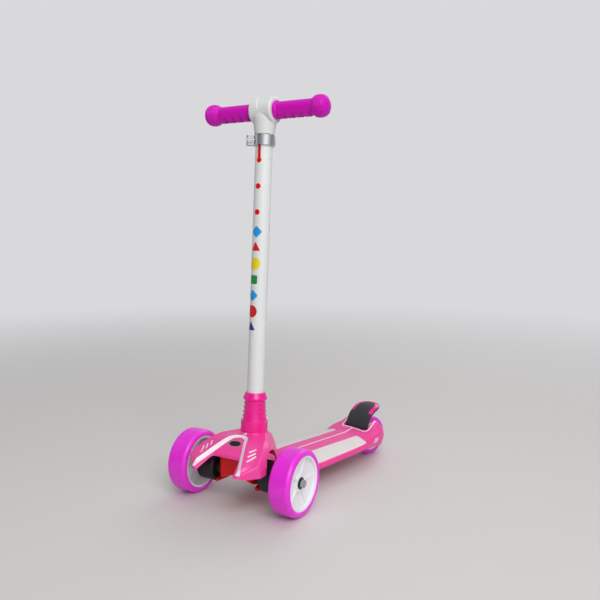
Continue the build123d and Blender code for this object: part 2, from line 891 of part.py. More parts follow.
with BuildPart() as collar_sleeve:
    base_radius = ring_inner - seat_clearance
    with BuildSketch(pole_section):
        with BuildLine():
            Polyline(
                (waist_radius, collar_waist_top),
                (collar_bore, collar_waist_top),
                (collar_bore, sleeve_bottom),
                (base_radius, sleeve_bottom),
                (base_radius, ring_top),
            )
            Spline(
                (base_radius, ring_top),
                (waist_radius, collar_waist_top),
                tangents=((-0.2, 1), (0, 1)),
            )
        make_face()
    revolve(axis=pole_axis)
    for sign in sides.values():
        rib_side = spun(pole, 90 - sign * 90 - collar_rib_arc / 2)
        rib_start = Plane(pole.origin, x_dir=rib_side.x_dir, z_dir=-rib_side.y_dir)
        with BuildSketch(rib_start):
            for rib in range(collar_rib_count):
                height = ring_top + collar_rib_pitch * (rib + 1)
                share = (height - ring_top) / (collar_waist_top - ring_top)
                skin = base_radius + (waist_radius - base_radius) * share
                with Locations((skin - collar_rib_height, height)):
                    Circle(2 * collar_rib_height)
        revolve(axis=pole_axis, revolution_arc=collar_rib_arc)

with BuildPart() as collar_cap:
    add(
        turned(
            pole_section,
            pole_axis,
            (
                (collar_bore, collar_waist_top),
                (cap_radius - edge_break, collar_waist_top),
                (cap_radius, collar_waist_top + edge_break),
                (cap_radius, collar_waist_top + collar_cap_chamfer),
                (cap_radius - collar_cap_chamfer, collar_waist_top + collar_cap_height),
                (collar_bore, collar_waist_top + collar_cap_height),
            ),
        )
    )

# Pole: the lower tube, slotted at the top, and the red sleeve that guides the upper tube
pole_front = Plane(pole.origin, x_dir=pole.x_dir, z_dir=-pole.y_dir)
hole_heights = [pole_slot_end - pole_hole_pitch * (step + 1) for step in range(pole_hole_count)]

with BuildPart() as lower_tube:
    with BuildSketch(pole.offset(pole_bottom)):
        Circle(pole_radius)
        Circle(pole_bore, mode=Mode.SUBTRACT)
    extrude(amount=pole_top - pole_bottom)
    with BuildSketch(pole_front):
        with Locations((0, pole_slot_end)):
            Circle(pole_slot_eye / 2)
            Rectangle(pole_slot_width, pole_top, align=(Align.CENTER, Align.MIN))
        with Locations(*[(0, height) for height in hole_heights]):
            Circle(pole_hole_diameter / 2)
    extrude(amount=pole_diameter, mode=Mode.SUBTRACT)
    with BuildSketch(facing(column_line, 1, 0)):
        Circle(column_bolt_diameter / 2)
    extrude(amount=pole_diameter, both=True, mode=Mode.SUBTRACT)

with BuildPart() as guide_sleeve:
    guide_outer = pole_bore - seat_clearance
    with BuildSketch(pole_front):
        with Locations((0, pole_slot_end)):
            Circle(pole_slot_eye / 2 - seat_clearance)
            Rectangle(
                pole_slot_width - 2 * seat_clearance,
                pole_top - pole_slot_end,
                align=(Align.CENTER, Align.MIN),
            )
    extrude(amount=pole_radius - guide_dome)
    with Locations(*[pole_front.location * Location((0, height, 0)) for height in hole_heights]):
        Cylinder(
            pole_hole_diameter / 2 - seat_clearance,
            pole_radius + guide_dome,
            align=(Align.CENTER, Align.CENTER, Align.MIN),
        )
    front_axis = Axis(pole.origin, -pole.y_dir)
    dome_edges = guide_sleeve.edges().filter_by(GeomType.CIRCLE).group_by(front_axis)[-1]
    fillet(dome_edges, 2 * guide_dome)
    with BuildSketch(pole.offset(guide_bottom)):
        Circle(guide_outer)
    extrude(amount=pole_top - guide_bottom)
    with BuildSketch(pole):
        Circle(guide_bore)
    extrude(amount=2 * pole_top, mode=Mode.SUBTRACT)

# Quick-release clamp round the top of the pole
clamp = spun(pole.offset(clamp_bottom), clamp_azimuth)
clamp_inner = pole_radius + seat_clearance
clamp_outer = clamp_inner + clamp_wall
ear_face = clamp_slit / 2 + clamp_ear_thickness
clamp_bolt_line = Plane(
    clamp.from_local_coords((clamp_bolt_reach, 0, clamp_height / 2)), x_dir=clamp.y_dir, z_dir=clamp.z_dir
)
barrel_reach = ear_face + body_gap + lever_hub_radius
lever_slot = clamp_bolt_diameter + 2 * body_gap

with BuildPart() as clamp_collar:
    with BuildSketch(clamp):
        Circle(clamp_outer)
        Rectangle(clamp_ear_reach, 2 * ear_face, align=(Align.MIN, Align.CENTER))
        fillet(vertices().group_by(Axis.X)[-1], clamp_slit)
        Circle(clamp_inner, mode=Mode.SUBTRACT)
        Rectangle(2 * clamp_ear_reach, clamp_slit, align=(Align.MIN, Align.CENTER), mode=Mode.SUBTRACT)
    extrude(amount=clamp_height)
    with BuildSketch(facing(clamp_bolt_line, 1, 0)):
        Circle(clamp_bolt_diameter / 2)
    extrude(amount=2 * ear_face, both=True, mode=Mode.SUBTRACT)

with BuildPart() as clamp_bolt:
    add(
        bolt(
            facing(clamp_bolt_line, 1, ear_face),
            clamp_bolt_diameter / 2,
            ear_face + barrel_reach,
            clamp_bolt_head / 2,
            clamp_bolt_head_height,
        )
    )

barrel_plane = Plane(
    clamp.from_local_coords((clamp_bolt_reach, -barrel_reach, (clamp_height - clamp_barrel_length) / 2)),
    x_dir=clamp.x_dir,
    z_dir=clamp.z_dir,
)
lever_inner = clamp_outer + lever_gap
lever_plane = clamp.offset((clamp_height - lever_width) / 2)

with BuildPart() as clamp_barrel:
    with BuildSketch(barrel_plane):
        Circle(clamp_barrel_diameter / 2)
    extrude(amount=clamp_barrel_length)
    with BuildSketch(facing(clamp_bolt_line, -1, 0)):
        Circle(clamp_bolt_diameter / 2)
    extrude(amount=barrel_reach, mode=Mode.SUBTRACT)

with BuildPart() as clamp_lever:
    with BuildSketch(lever_plane):
        with BuildLine():
            inside = CenterArc((0, 0), lever_inner, -lever_start, -lever_sweep)
            outside = CenterArc((0, 0), lever_inner + lever_thickness, -lever_start, -lever_sweep)
            Line(inside @ 0, outside @ 0)
            Line(inside @ 1, outside @ 1)
        make_face()
        with Locations((clamp_bolt_reach, -barrel_reach)):
            Circle(lever_hub_radius)
    extrude(amount=lever_width)
    with BuildSketch(barrel_plane):
        Circle(clamp_barrel_diameter / 2 + running_clearance)
    extrude(amount=clamp_barrel_length, mode=Mode.SUBTRACT)
    with BuildSketch(barrel_plane.offset((clamp_barrel_length - lever_slot) / 2)):
        with Locations((-lever_slot / 2, -lever_slot / 2)):
            Rectangle(clamp_bolt_reach, clamp_bolt_reach, align=Align.MIN)
    extrude(amount=lever_slot, mode=Mode.SUBTRACT)

# Handlebar: upper tube with its foot plug, head, cross tube and grips
head_bottom = pole_top + body_gap
head_socket = upper_radius + seat_clearance
bar_axis = spin_axis(bar_line)
head_bolt_plane = Plane(
    pole.from_local_coords((0, head_neck_radius, head_bolt_height)), x_dir=(1, 0, 0), z_dir=pole.y_dir
)

with BuildPart() as upper_tube:
    with BuildSketch(pole.offset(upper_tube_bottom)):
        Circle(upper_radius)
        Circle(upper_radius - upper_tube_wall, mode=Mode.SUBTRACT)
    extrude(amount=head_socket_top - upper_tube_bottom)
    with BuildSketch(head_bolt_plane):
        Circle(head_bolt_diameter / 2)
    extrude(amount=-head_neck_radius, mode=Mode.SUBTRACT)

with BuildPart() as tube_plug:
    plug_radius = upper_radius - upper_tube_wall - seat_clearance
    with BuildSketch(pole.offset(upper_tube_bottom - plug_flange)):
        Circle(pole_bore - 2 * running_clearance)
    extrude(amount=plug_flange)
    with BuildSketch(pole.offset(upper_tube_bottom)):
        Circle(plug_radius)
    extrude(amount=plug_length - plug_flange)

with BuildPart() as head_valleys:
    with BuildSketch(bar_line):
        with Locations((0, head_barrel_radius - head_valley)):
            Rectangle(2 * head_valley_half, head_barrel_radius, align=(Align.CENTER, Align.MIN))
    revolve(axis=bar_axis)
    with BuildSketch(pole_section):
        valley_top = bar_height + 2 * head_barrel_radius
        with BuildLine():
            FilletPolyline(
                (-head_valley_half, valley_top),
                (-head_valley_half, bar_height + head_barrel_radius - head_valley),
                (0, head_valley_foot),
                (head_valley_half, bar_height + head_barrel_radius - head_valley),
                (head_valley_half, valley_top),
                radius=head_valley_corner,
                close=True,
            )
        make_face()
    extrude(amount=2 * head_barrel_radius, both=True, mode=Mode.INTERSECT)

with BuildPart() as handlebar_head:
    with BuildSketch(bar_line):
        with Locations((0, head_barrel_radius / 2)):
            Rectangle(2 * head_half_width, head_barrel_radius)
        fillet(vertices().group_by(Axis.Y)[-1], head_edge)
    revolve(axis=bar_axis)
    with BuildSketch(pole.offset(head_bottom)):
        Circle(head_neck_radius)
    with BuildSketch(pole.offset(head_neck_top)):
        Ellipse(head_half_width - edge_break, head_barrel_radius - edge_break)
    loft()
    with BuildSketch(pole.offset(head_neck_top)):
        Ellipse(head_half_width - edge_break, head_barrel_radius - edge_break)
    extrude(amount=bar_height - head_neck_top)
    add(head_valleys, mode=Mode.SUBTRACT)
    with BuildSketch(facing(bar_line, 1, -head_half_width)):
        Circle(bar_radius + seat_clearance)
    extrude(amount=2 * head_half_width, mode=Mode.SUBTRACT)
    with BuildSketch(pole.offset(head_bottom)):
        Circle(head_socket)
    extrude(amount=head_socket_top - head_bottom, mode=Mode.SUBTRACT)
    with BuildSketch(head_bolt_plane):
        Circle(head_bolt_diameter / 2)
    extrude(amount=-head_neck_radius, mode=Mode.SUBTRACT)
    with BuildSketch(head_bolt_plane.offset(-head_bolt_head_height)):
        Circle(head_bolt_head / 2)
    extrude(amount=head_neck_radius, mode=Mode.SUBTRACT)

with BuildPart() as head_bolt:
    add(
        bolt(
            head_bolt_plane.offset(-head_bolt_head_height),
            head_bolt_diameter / 2,
            head_neck_radius - head_bolt_head_height - upper_radius + upper_tube_wall + bolt_tail,
            head_bolt_head / 2,
            head_bolt_head_height,
        )
    )

with BuildPart() as cross_tube:
    add(tube(facing(bar_line, 1, -bar_length / 2), bar_radius, bar_radius - bar_wall, bar_length))

grips = {}
for side, sign in sides.items():
    grip_line = outward(bar_line, sign)
    grip_radius = grip_diameter / 2
    ball_radius = grip_ball_diameter / 2
    ball_half = (grip_end - grip_ball_start) / 2
    with BuildPart() as grip:
        with BuildSketch(grip_line):
            with BuildLine():
                Polyline(
                    (grip_end, 0),
                    (bar_length / 2 + body_gap, 0),
                    (bar_length / 2 + body_gap, bar_radius + seat_clearance),
                    (head_half_width + seat_clearance, bar_radius + seat_clearance),
                    (head_half_width + seat_clearance, grip_flange_diameter / 2 - edge_break),
                    (head_half_width + edge_break, grip_flange_diameter / 2),
                    (head_half_width + grip_flange_length - 2 * edge_break, grip_flange_diameter / 2),
                    (head_half_width + grip_flange_length, grip_radius),
                    (grip_ball_start, grip_radius),
                )
                Spline(
                    (grip_ball_start, grip_radius),
                    (grip_ball_start + ball_half, ball_radius),
                    (grip_end, 0),
                    tangents=((1, 0.6), (0, -1)),
                )
            make_face()
        revolve(axis=spin_axis(grip_line))
        wave_start = head_half_width + grip_flange_length
        wave_length = (grip_ball_start - wave_start) / grip_wave_count
        for wave in range(grip_wave_count):
            centre = wave_start + wave_length * (wave + 0.5)
            with BuildSketch(facing(grip_line, 1, centre - wave_length * 0.3)):
                with Locations((-2 * grip_wave_depth, 0)):
                    Circle(grip_radius - grip_wave_depth / 2)
            extrude(amount=wave_length * 0.6)
        with BuildSketch(facing(grip_line, 1, head_half_width + seat_clearance)):
            Circle(bar_radius + seat_clearance)
        extrude(amount=bar_length / 2 + body_gap - head_half_width - seat_clearance, mode=Mode.SUBTRACT)
    grips[f"grip_{side}"] = grip


# Deck: cross-sections lofted from the neck to the tail, hollow and ribbed underneath
def deck_section(station, inset=0.0):
    """Sketch one cross-section of the deck: flat floor, bowed sides and crowned top."""
    y, half, edge, crown, floor = station
    half = half - inset
    edge = edge - inset
    crown = crown - inset
    floor = floor - inset
    with BuildSketch(Plane.XZ.offset(-y)) as section:
        with BuildLine():
            Line((-half + deck_floor_inset, floor), (half - deck_floor_inset, floor))
            ThreePointArc(
                (half - deck_floor_inset, floor),
                (half, (floor + edge) / 2),
                (half - deck_edge_inset, edge),
            )
            ThreePointArc((half - deck_edge_inset, edge), (0, crown), (-half + deck_edge_inset, edge))
            ThreePointArc(
                (-half + deck_edge_inset, edge),
                (-half, (floor + edge) / 2),
                (-half + deck_floor_inset, floor),
            )
        make_face()
    return section.sketch


def eased(stations, y):
    """Section values at a distance to the rear, eased between stations without overshoot."""
    index = max(i for i in range(len(stations) - 1) if stations[i][0] <= y)
    span = stations[index + 1][0] - stations[index][0]
    share = (y - stations[index][0]) / span
    values = [y]
    for column in range(1, len(stations[0])):
        slopes = []
        for middle in (index, index + 1):
            before, after = max(middle - 1, 0), min(middle + 1, len(stations) - 1)
            pairs = [(stations[before], stations[middle]), (stations[middle], stations[after])]
            steps = [
                (end[column] - start[column]) / (end[0] - start[0])
                for start, end in pairs
                if end[0] > start[0]
            ]
            same_way = min(steps) > 0 or max(steps) < 0
            slopes.append(len(steps) / sum(1 / step for step in steps) if same_way else 0.0)
        low, high = stations[index][column], stations[index + 1][column]
        bend = share * share * (3 - 2 * share)
        values.append(
            low + (high - low) * bend
            + span * slopes[0] * share * (1 - share) ** 2
            - span * slopes[1] * share ** 2 * (1 - share)
        )
    return values


def deck_run(stations, count):
    """Evenly spaced section values from the first station to the last."""
    first, last = stations[0][0], stations[-1][0]
    return [eased(stations, first + (last - first) * step / (count - 1)) for step in range(count)]


pocket_front_y = deck_pocket_sections[0][0]
pocket_rear_y = deck_pocket_sections[-1][0]

with BuildPart() as deck_ribs:
    for station in deck_pocket_sections:
        add(deck_section(station, deck_wall / 2))
    loft()
    with BuildSketch(Plane.XY.offset(deck_rib_floor)):
        for rib in range(deck_rib_count):
            share = (rib + 1) / (deck_rib_count + 1)
            with Locations((0, pocket_front_y + share * (pocket_rear_y - pocket_front_y))):
                Rectangle(4 * well_half_width, deck_rib_thickness)
        for rail_x in (-deck_rail_x, 0, deck_rail_x):
            with Locations((rail_x, (pocket_front_y + pocket_rear_y) / 2)):
                Rectangle(deck_rib_thickness, pocket_rear_y - pocket_front_y)
    extrude(amount=well_floor_z, mode=Mode.INTERSECT)

with BuildPart() as deck:
    for station in deck_run(deck_stations, deck_section_count):
        add(deck_section(station))
    loft()
    with BuildSketch(Plane.XY.offset(eye_bottom_z)):
        Circle(eye_radius)
        Rectangle(2 * eye_radius, neck_length, align=(Align.CENTER, Align.MIN))
    extrude(amount=eye_top_z - eye_bottom_z)
    for station in deck_pocket_sections:
        add(deck_section(station, deck_wall))
    loft(mode=Mode.SUBTRACT)
    add(deck_ribs.part)
    with BuildSketch(Plane.XY.offset(well_floor_z)):
        with Locations((0, well_front_y)):
            Rectangle(2 * well_half_width, wheelbase, align=(Align.CENTER, Align.MIN))
        fillet(vertices().group_by(Axis.Y)[0], well_corner)
    extrude(amount=wheelbase, mode=Mode.SUBTRACT)
    with BuildSketch(Plane.XY):
        with Locations((0, well_front_y)):
            Rectangle(2 * fork_half_width, wheelbase, align=(Align.CENTER, Align.MIN))
    extrude(amount=well_floor_z, mode=Mode.SUBTRACT)
    with BuildSketch(Plane.XY):
        Circle(kingpin_radius + running_clearance + bush_wall)
    extrude(amount=eye_top_z + eye_bottom_z, mode=Mode.SUBTRACT)
    with BuildSketch(facing(rear_axle_line, 1, 0)):
        Circle(axle_radius)
    extrude(amount=wheelbase, both=True, mode=Mode.SUBTRACT)
    for sign in sides.values():
        with BuildSketch(facing(rear_axle_line, sign, rear_nut_recess)):
            Circle(axle_nut_flats / 2 + rear_nut_room)
        extrude(amount=wheelbase, mode=Mode.SUBTRACT)
    with BuildSketch(facing(brake_line, -1, -brake_pin_length / 2)):
        Circle(brake_pin_diameter / 2)
    extrude(amount=wheelbase, mode=Mode.SUBTRACT)

# Foot brake: a curved plate hinged in front of the rear wheel, with a pad on ribs below it
pad_inner = rear_radius + pad_gap
pad_outer = pad_inner + pad_thickness

with BuildPart() as brake_pin:
    with BuildSketch(facing(brake_line, 1, -brake_pin_length / 2)):
        Circle(brake_pin_diameter / 2)
    extrude(amount=brake_pin_length)


pedal_section = Plane((0, pedal_centre_y, pedal_centre_z), x_dir=(1, 0, 0), z_dir=(0, -1, 0))


def pedal_plan(inset, front_y):
    """Sketch the pedal seen from above: straight sides and a rounded rear end."""
    width = 2 * (pedal_half_width - inset)
    with BuildSketch(Plane.XY) as plan:
        with Locations((0, front_y)):
            Rectangle(width, pedal_end_y - inset - front_y, align=(Align.CENTER, Align.MIN))
        fillet(plan.vertices().group_by(Axis.Y)[-1], pedal_corner - inset)
    return plan.sketch


def pedal_skin(outer, inner, front_y):
    """Curved skin of the pedal between two radii, crowned across its width, behind a given line."""
    with BuildPart() as skin:
        with BuildSketch(pedal_section):
            with BuildLine():
                for radius in (outer, inner):
                    ThreePointArc(
                        (-pedal_half_width, radius - pedal_crown),
                        (0, radius),
                        (pedal_half_width, radius - pedal_crown),
                    )
                for side_x in (-pedal_half_width, pedal_half_width):
                    Line((side_x, outer - pedal_crown), (side_x, inner - pedal_crown))
            make_face()
        revolve(axis=spin_axis(pedal_section))
        with BuildSketch(Plane.YZ):
            with Locations((front_y, brake_pin_z)):
                Rectangle(wheelbase, wheelbase, align=(Align.MIN, Align.MIN))
        extrude(amount=pedal_half_width, both=True, mode=Mode.INTERSECT)
    return skin.part


with BuildPart() as brake_inlay:
    add(pedal_skin(pedal_radius + body_gap, pedal_radius - inlay_depth, pedal_end_y - inlay_reach))
    add(pedal_plan(body_gap, brake_pin_y))
    extrude(amount=wheelbase, mode=Mode.INTERSECT)
    add(pedal_plan(inlay_width, brake_pin_y))
    extrude(amount=wheelbase, mode=Mode.SUBTRACT)

with BuildPart() as brake_pedal:
    add(pedal_skin(pedal_radius, pedal_radius - pedal_thickness, brake_pin_y - pedal_radius))
    add(pedal_plan(0, brake_pin_y - pedal_radius))
    extrude(amount=wheelbase, mode=Mode.INTERSECT)
    with BuildSketch(facing(brake_line, 1, -pedal_boss_half)):
        Circle(pedal_boss_radius)
    extrude(amount=2 * pedal_boss_half)
    for rib_x in (-pad_half_width + pad_rib_thickness, pad_half_width - pad_rib_thickness):
        with BuildSketch(Plane.YZ.offset(rib_x)):
            with Locations((pad_middle_y, pedal_centre_z)):
                Rectangle(pad_length, pedal_radius, align=(Align.CENTER, Align.MIN))
            with Locations((pedal_centre_y, pedal_centre_z)):
                Circle(pedal_radius - pedal_thickness / 2, mode=Mode.INTERSECT)
            with Locations((wheelbase, rear_radius)):
                Circle(pad_outer, mode=Mode.SUBTRACT)
        extrude(amount=pad_rib_thickness / 2, both=True)
    with BuildSketch(facing(brake_line, 1, -pedal_spring_gap)):
        Circle(pedal_boss_radius + 3 * spring_wire / 2)
    extrude(amount=2 * pedal_spring_gap, mode=Mode.SUBTRACT)
    with BuildSketch(facing(brake_line, 1, -pedal_half_width)):
        Circle(brake_pin_diameter / 2 + running_clearance)
    extrude(amount=2 * pedal_half_width, mode=Mode.SUBTRACT)
    add(brake_inlay.part, mode=Mode.SUBTRACT)

with BuildPart() as brake_pad:
    with BuildSketch(Plane.YZ):
        with Locations((wheelbase, rear_radius)):
            Circle(pad_outer)
            Circle(pad_inner, mode=Mode.SUBTRACT)
        with Locations((pad_middle_y, rear_radius)):
            Rectangle(pad_length, wheelbase, align=(Align.CENTER, Align.MIN), mode=Mode.INTERSECT)
    extrude(amount=pad_half_width, both=True)

coil_radius = brake_pin_diameter / 2 + body_gap + spring_wire / 2
coil_length = spring_turns * spring_pitch
coil_start = Plane(brake_line.origin + Vector(coil_length / 2, 0, 0), x_dir=(0, -1, 0), z_dir=(-1, 0, 0))
coil = coil_start * Helix(spring_pitch, coil_length, coil_radius)

with BuildPart() as brake_spring:
    with BuildSketch(Plane(coil @ 0, z_dir=coil % 0)):
        Circle(spring_wire / 2)
    sweep(path=coil, is_frenet=True)
    with BuildSketch(Plane(coil @ 0, z_dir=(0, 0, -1))):
        Circle(spring_wire / 2)
    extrude(amount=spring_leg)
    with BuildSketch(Plane(coil @ 1, z_dir=(0, 1, 0))):
        Circle(spring_wire / 2)
    extrude(amount=spring_leg)

# Every piece gets its name and its own file. What steers is turned about the steering axis.
fixed_pieces = {
    "deck": deck,
    "steering_bushes": steering_bushes,
    "rear_axle": rear_axle,
    "rear_axle_nuts": rear_axle_nuts,
    "rear_axle_spacers": rear_axle_spacers,
    "rear_tyre": rear_tyre,
    "rear_rim": rear_rim,
    "rear_bearings": rear_bearings,
    "rear_bearing_spacer": rear_bearing_spacer,
    "brake_pin": brake_pin,
    "brake_spring": brake_spring,
    "brake_pedal": brake_pedal,
    "brake_inlay": brake_inlay,
    "brake_pad": brake_pad,
}
steered_pieces = {
    "front_shell": front_shell,
    "badge_frame": badge_frame_ring,
    "badge_face": badge_face,
    "hood_screws": hood_screws,
    "truck_core": truck_core,
    "kingpin": kingpin,
    "kingpin_nut": kingpin_nut,
    "kingpin_washer": kingpin_washer,
    "column_bolt": column_bolt,
    "column_nut": column_nut,
    "front_axle": front_axle,
    "front_axle_nuts": front_axle_nuts,
    "front_axle_washers": front_axle_washers,
    "collar_ring": collar_ring,
    "collar_sleeve": collar_sleeve,
    "collar_cap": collar_cap,
    "lower_tube": lower_tube,
    "guide_sleeve": guide_sleeve,
    "clamp_collar": clamp_collar,
    "clamp_bolt": clamp_bolt,
    "clamp_barrel": clamp_barrel,
    "clamp_lever": clamp_lever,
    "upper_tube": upper_tube,
    "tube_plug": tube_plug,
    "handlebar_head": handlebar_head,
    "head_bolt": head_bolt,
    "cross_tube": cross_tube,
    **housings,
    **front_wheels,
    **grips,
}
for piece in steered_pieces.values():
    piece.part = piece.part.rotate(Axis.Z, steer_angle)

os.makedirs("parts", exist_ok=True)
for name, piece in (fixed_pieces | steered_pieces).items():
    piece.part.label = name
    export_step(piece.part, f"parts/{name}.step")
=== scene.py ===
"""Studio scene of a child's kick scooter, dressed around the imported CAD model."""

import json
import logging
import math
from dataclasses import dataclass, field
from enum import Enum
from typing import Any, Callable

import bmesh
import bpy
from mathutils import Matrix, Vector
from mathutils.bvhtree import BVHTree


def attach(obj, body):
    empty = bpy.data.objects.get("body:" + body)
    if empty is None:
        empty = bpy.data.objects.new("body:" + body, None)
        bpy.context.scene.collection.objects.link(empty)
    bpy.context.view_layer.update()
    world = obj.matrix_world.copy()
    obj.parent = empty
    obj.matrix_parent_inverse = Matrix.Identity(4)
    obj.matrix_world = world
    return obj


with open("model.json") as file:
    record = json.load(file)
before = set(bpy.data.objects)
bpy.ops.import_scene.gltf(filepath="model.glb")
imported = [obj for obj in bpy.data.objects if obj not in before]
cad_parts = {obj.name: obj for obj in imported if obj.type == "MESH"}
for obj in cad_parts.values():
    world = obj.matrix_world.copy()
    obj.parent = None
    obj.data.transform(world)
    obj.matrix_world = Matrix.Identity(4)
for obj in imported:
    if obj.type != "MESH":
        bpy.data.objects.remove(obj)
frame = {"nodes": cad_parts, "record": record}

LOG = logging.getLogger("scooter")
MM = 0.001
SHARP_EDGE = math.radians(35)
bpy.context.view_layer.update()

Point = tuple[float, float]
Place = tuple[float, float, float]
Outline = list[Point]
Ray = tuple[Vector, Vector]
Aim = Callable[[float, float], Ray]
Profile = Callable[[Point, Vector], list[Point]]
Tree = bpy.types.NodeTree
Socket = bpy.types.NodeSocket

# The sRGB curve: straight up to its knee, and a power of the shifted value above it
SRGB_KNEE = 0.04045
SRGB_SLOPE = 12.92
SRGB_SHIFT = 0.055
SRGB_POWER = 2.4

# How every finish is drawn: the noise that mottles it, the part of that noise that moves its
# roughness, the least roughness, the strength of its relief, its coat's roughness and how deep
# light gets in
MOTTLE_DETAIL = 3.0
MOTTLE_FINENESS = 0.55
MOTTLE_SPAN = (0.2, 0.8)
LEAST_ROUGHNESS = 0.02
RELIEF_STRENGTH = 0.8
COAT_ROUGHNESS = 0.12
GLOW_DEPTH = 4 * MM
# Brushed lines are this many times as long as wide, and a spark-eroded skin has the finest detail
BRUSH_LENGTH = 30
SPARK_DETAIL = 6.0
SMOOTH_DETAIL = 2.0


def linear(code: str) -> tuple[float, float, float, float]:
    """Turn an sRGB hex colour into linear light.

    Args:
        code: six hex digits.

    Returns:
        Red, green, blue and an alpha of one.
    """
    shares = [int(code[i : i + 2], 16) / 255 for i in (0, 2, 4)]
    red, green, blue = (
        s / SRGB_SLOPE if s <= SRGB_KNEE else ((s + SRGB_SHIFT) / (1 + SRGB_SHIFT)) ** SRGB_POWER
        for s in shares
    )
    return red, green, blue, 1.0


def add_node(
    tree: Tree,
    kind: str,
    settings: dict[str, Any] | None = None,
    inputs: dict[Any, Any] | None = None,
) -> bpy.types.Node:
    """Add a node, set its own settings, and fill or link its inputs.

    Args:
        tree: the node tree that takes the node.
        kind: the node's Blender type name.
        settings: attributes of the node itself.
        inputs: input names or numbers, each with a value or an output socket to link.

    Returns:
        The new node.
    """
    node = tree.nodes.new(kind)
    for name, value in (settings or {}).items():
        setattr(node, name, value)
    for key, value in (inputs or {}).items():
        if isinstance(value, Socket):
            tree.links.new(value, node.inputs[key])
        else:
            node.inputs[key].default_value = value
    return node


class Grain(Enum):
    """How a surface's fine relief was made."""

    SPARK = "spark eroded mould"
    PEEL = "orange peel of a coating"
    BRUSHED = "brushed or turned lines"
    PEBBLE = "pebbled skin"


class Side(Enum):
    """Sides of the scooter as its rider sees them, with the sign of X."""

    LEFT = 1
    RIGHT = -1

    @property
    def word(self) -> str:
        """Name of the side as the CAD nodes spell it."""
        return self.name.lower()


@dataclass(frozen=True)
class Finish:
    """One real material with its surface, drawn by nodes in the piece's own coordinates.

    The colour drifts a little over patches of mottle_mm, and the relief has a spacing of grain_mm.
    """

    name: str
    colour: str
    shade: str
    roughness: float
    grain: Grain = Grain.SPARK
    grain_mm: float = 1.2
    depth_mm: float = 0.04
    mottle_mm: float = 60.0
    metallic: float = 0.0
    ior: float = 1.5
    coat: float = 0.0
    glow: float = 0.0
    rough_spread: float = 0.06

    def material(self) -> bpy.types.Material:
        """Make the material, or give back the one already made.

        Returns:
            The Blender material named for this finish.
        """
        found = bpy.data.materials.get(self.name)
        if found:
            return found
        material = bpy.data.materials.new(self.name)
        material.use_nodes = True
        tree = material.node_tree
        tree.nodes.clear()
        coords = add_node(tree, "ShaderNodeTexCoord").outputs["Object"]
        patches = add_node(
            tree,
            "ShaderNodeTexNoise",
            inputs={
                "Vector": coords,
                "Scale": 1 / (self.mottle_mm * MM),
                "Detail": MOTTLE_DETAIL,
                "Roughness": MOTTLE_FINENESS,
            },
        )
        tint = add_node(
            tree,
            "ShaderNodeMix",
            {"data_type": "RGBA"},
            {0: patches.outputs["Fac"], 6: linear(self.colour), 7: linear(self.shade)},
        )
        rough = add_node(
            tree,
            "ShaderNodeMapRange",
            {"interpolation_type": "SMOOTHSTEP"},
            {
                "Value": patches.outputs["Fac"],
                "From Min": MOTTLE_SPAN[0],
                "From Max": MOTTLE_SPAN[1],
                "To Min": max(self.roughness - self.rough_spread, LEAST_ROUGHNESS),
                "To Max": self.roughness + self.rough_spread,
            },
        )
        bump = add_node(
            tree,
            "ShaderNodeBump",
            inputs={
                "Height": self.relief(tree, coords),
                "Distance": self.depth_mm * MM,
                "Strength": RELIEF_STRENGTH,
            },
        )
        shader = add_node(
            tree,
            "ShaderNodeBsdfPrincipled",
            inputs={
                "Base Color": tint.outputs[2],
                "Roughness": rough.outputs["Result"],
                "Metallic": self.metallic,
                "IOR": self.ior,
                "Coat Weight": self.coat,
                "Coat Roughness": COAT_ROUGHNESS,
                "Subsurface Weight": self.glow,
                "Subsurface Scale": GLOW_DEPTH,
                "Normal": bump.outputs["Normal"],
            },
        )
        add_node(tree, "ShaderNodeOutputMaterial", inputs={"Surface": shader.outputs["BSDF"]})
        return material

    def relief(self, tree: Tree, coords: Socket) -> Socket:
        """Draw the fine relief for this finish.

        Args:
            tree: the material's node tree.
            coords: the piece's own coordinates in metres.

        Returns:
            A height socket for the bump.
        """
        scale = 1 / (self.grain_mm * MM)
        if self.grain is Grain.PEBBLE:
            cells = add_node(
                tree,
                "ShaderNodeTexVoronoi",
                {"feature": "SMOOTH_F1"},
                {"Vector": coords, "Scale": scale},
            )
            return cells.outputs["Distance"]
        if self.grain is Grain.BRUSHED:
            stretch = add_node(
                tree,
                "ShaderNodeMapping",
                inputs={"Vector": coords, "Scale": (scale, scale, scale / BRUSH_LENGTH)},
            )
            coords, scale = stretch.outputs["Vector"], 1.0
        detail = SPARK_DETAIL if self.grain is Grain.SPARK else SMOOTH_DETAIL
        noise = add_node(
            tree,
            "ShaderNodeTexNoise",
            inputs={"Vector": coords, "Scale": scale, "Detail": detail},
        )
        return noise.outputs["Fac"]


# Moulded ABS: an even pink with a soft gloss and a faint spark-eroded grain
PINK_ABS = Finish("moulded_pink_abs", "F946A2", "F03897", 0.34, coat=0.12)
# Polished ABS of the collar and the brake's inlay: the same pink, wetter and deeper
PINK_GLOSS_ABS = Finish("polished_pink_abs", "F40E96", "EB098C", 0.26, coat=0.12, depth_mm=0.02)
# Cast urethane tread: strong violet pink, waxy, a little light gets in
VIOLET_URETHANE = Finish(
    "cast_violet_urethane",
    "F530E2",
    "E620D2",
    0.32,
    grain_mm=2.5,
    depth_mm=0.03,
    mottle_mm=25,
    coat=0.1,
    glow=0.1,
)
# Moulded polypropylene rim: clean white with a satin skin
WHITE_PP = Finish("moulded_white_pp", "F3F1F4", "E9E7EC", 0.36)
# Powder-coated aluminium: white, with the coating's orange peel
WHITE_POWDER = Finish(
    "powder_coated_white",
    "E4E6E4",
    "DEE0DE",
    0.3,
    grain=Grain.PEEL,
    grain_mm=2.2,
    depth_mm=0.01,
    coat=0.2,
)
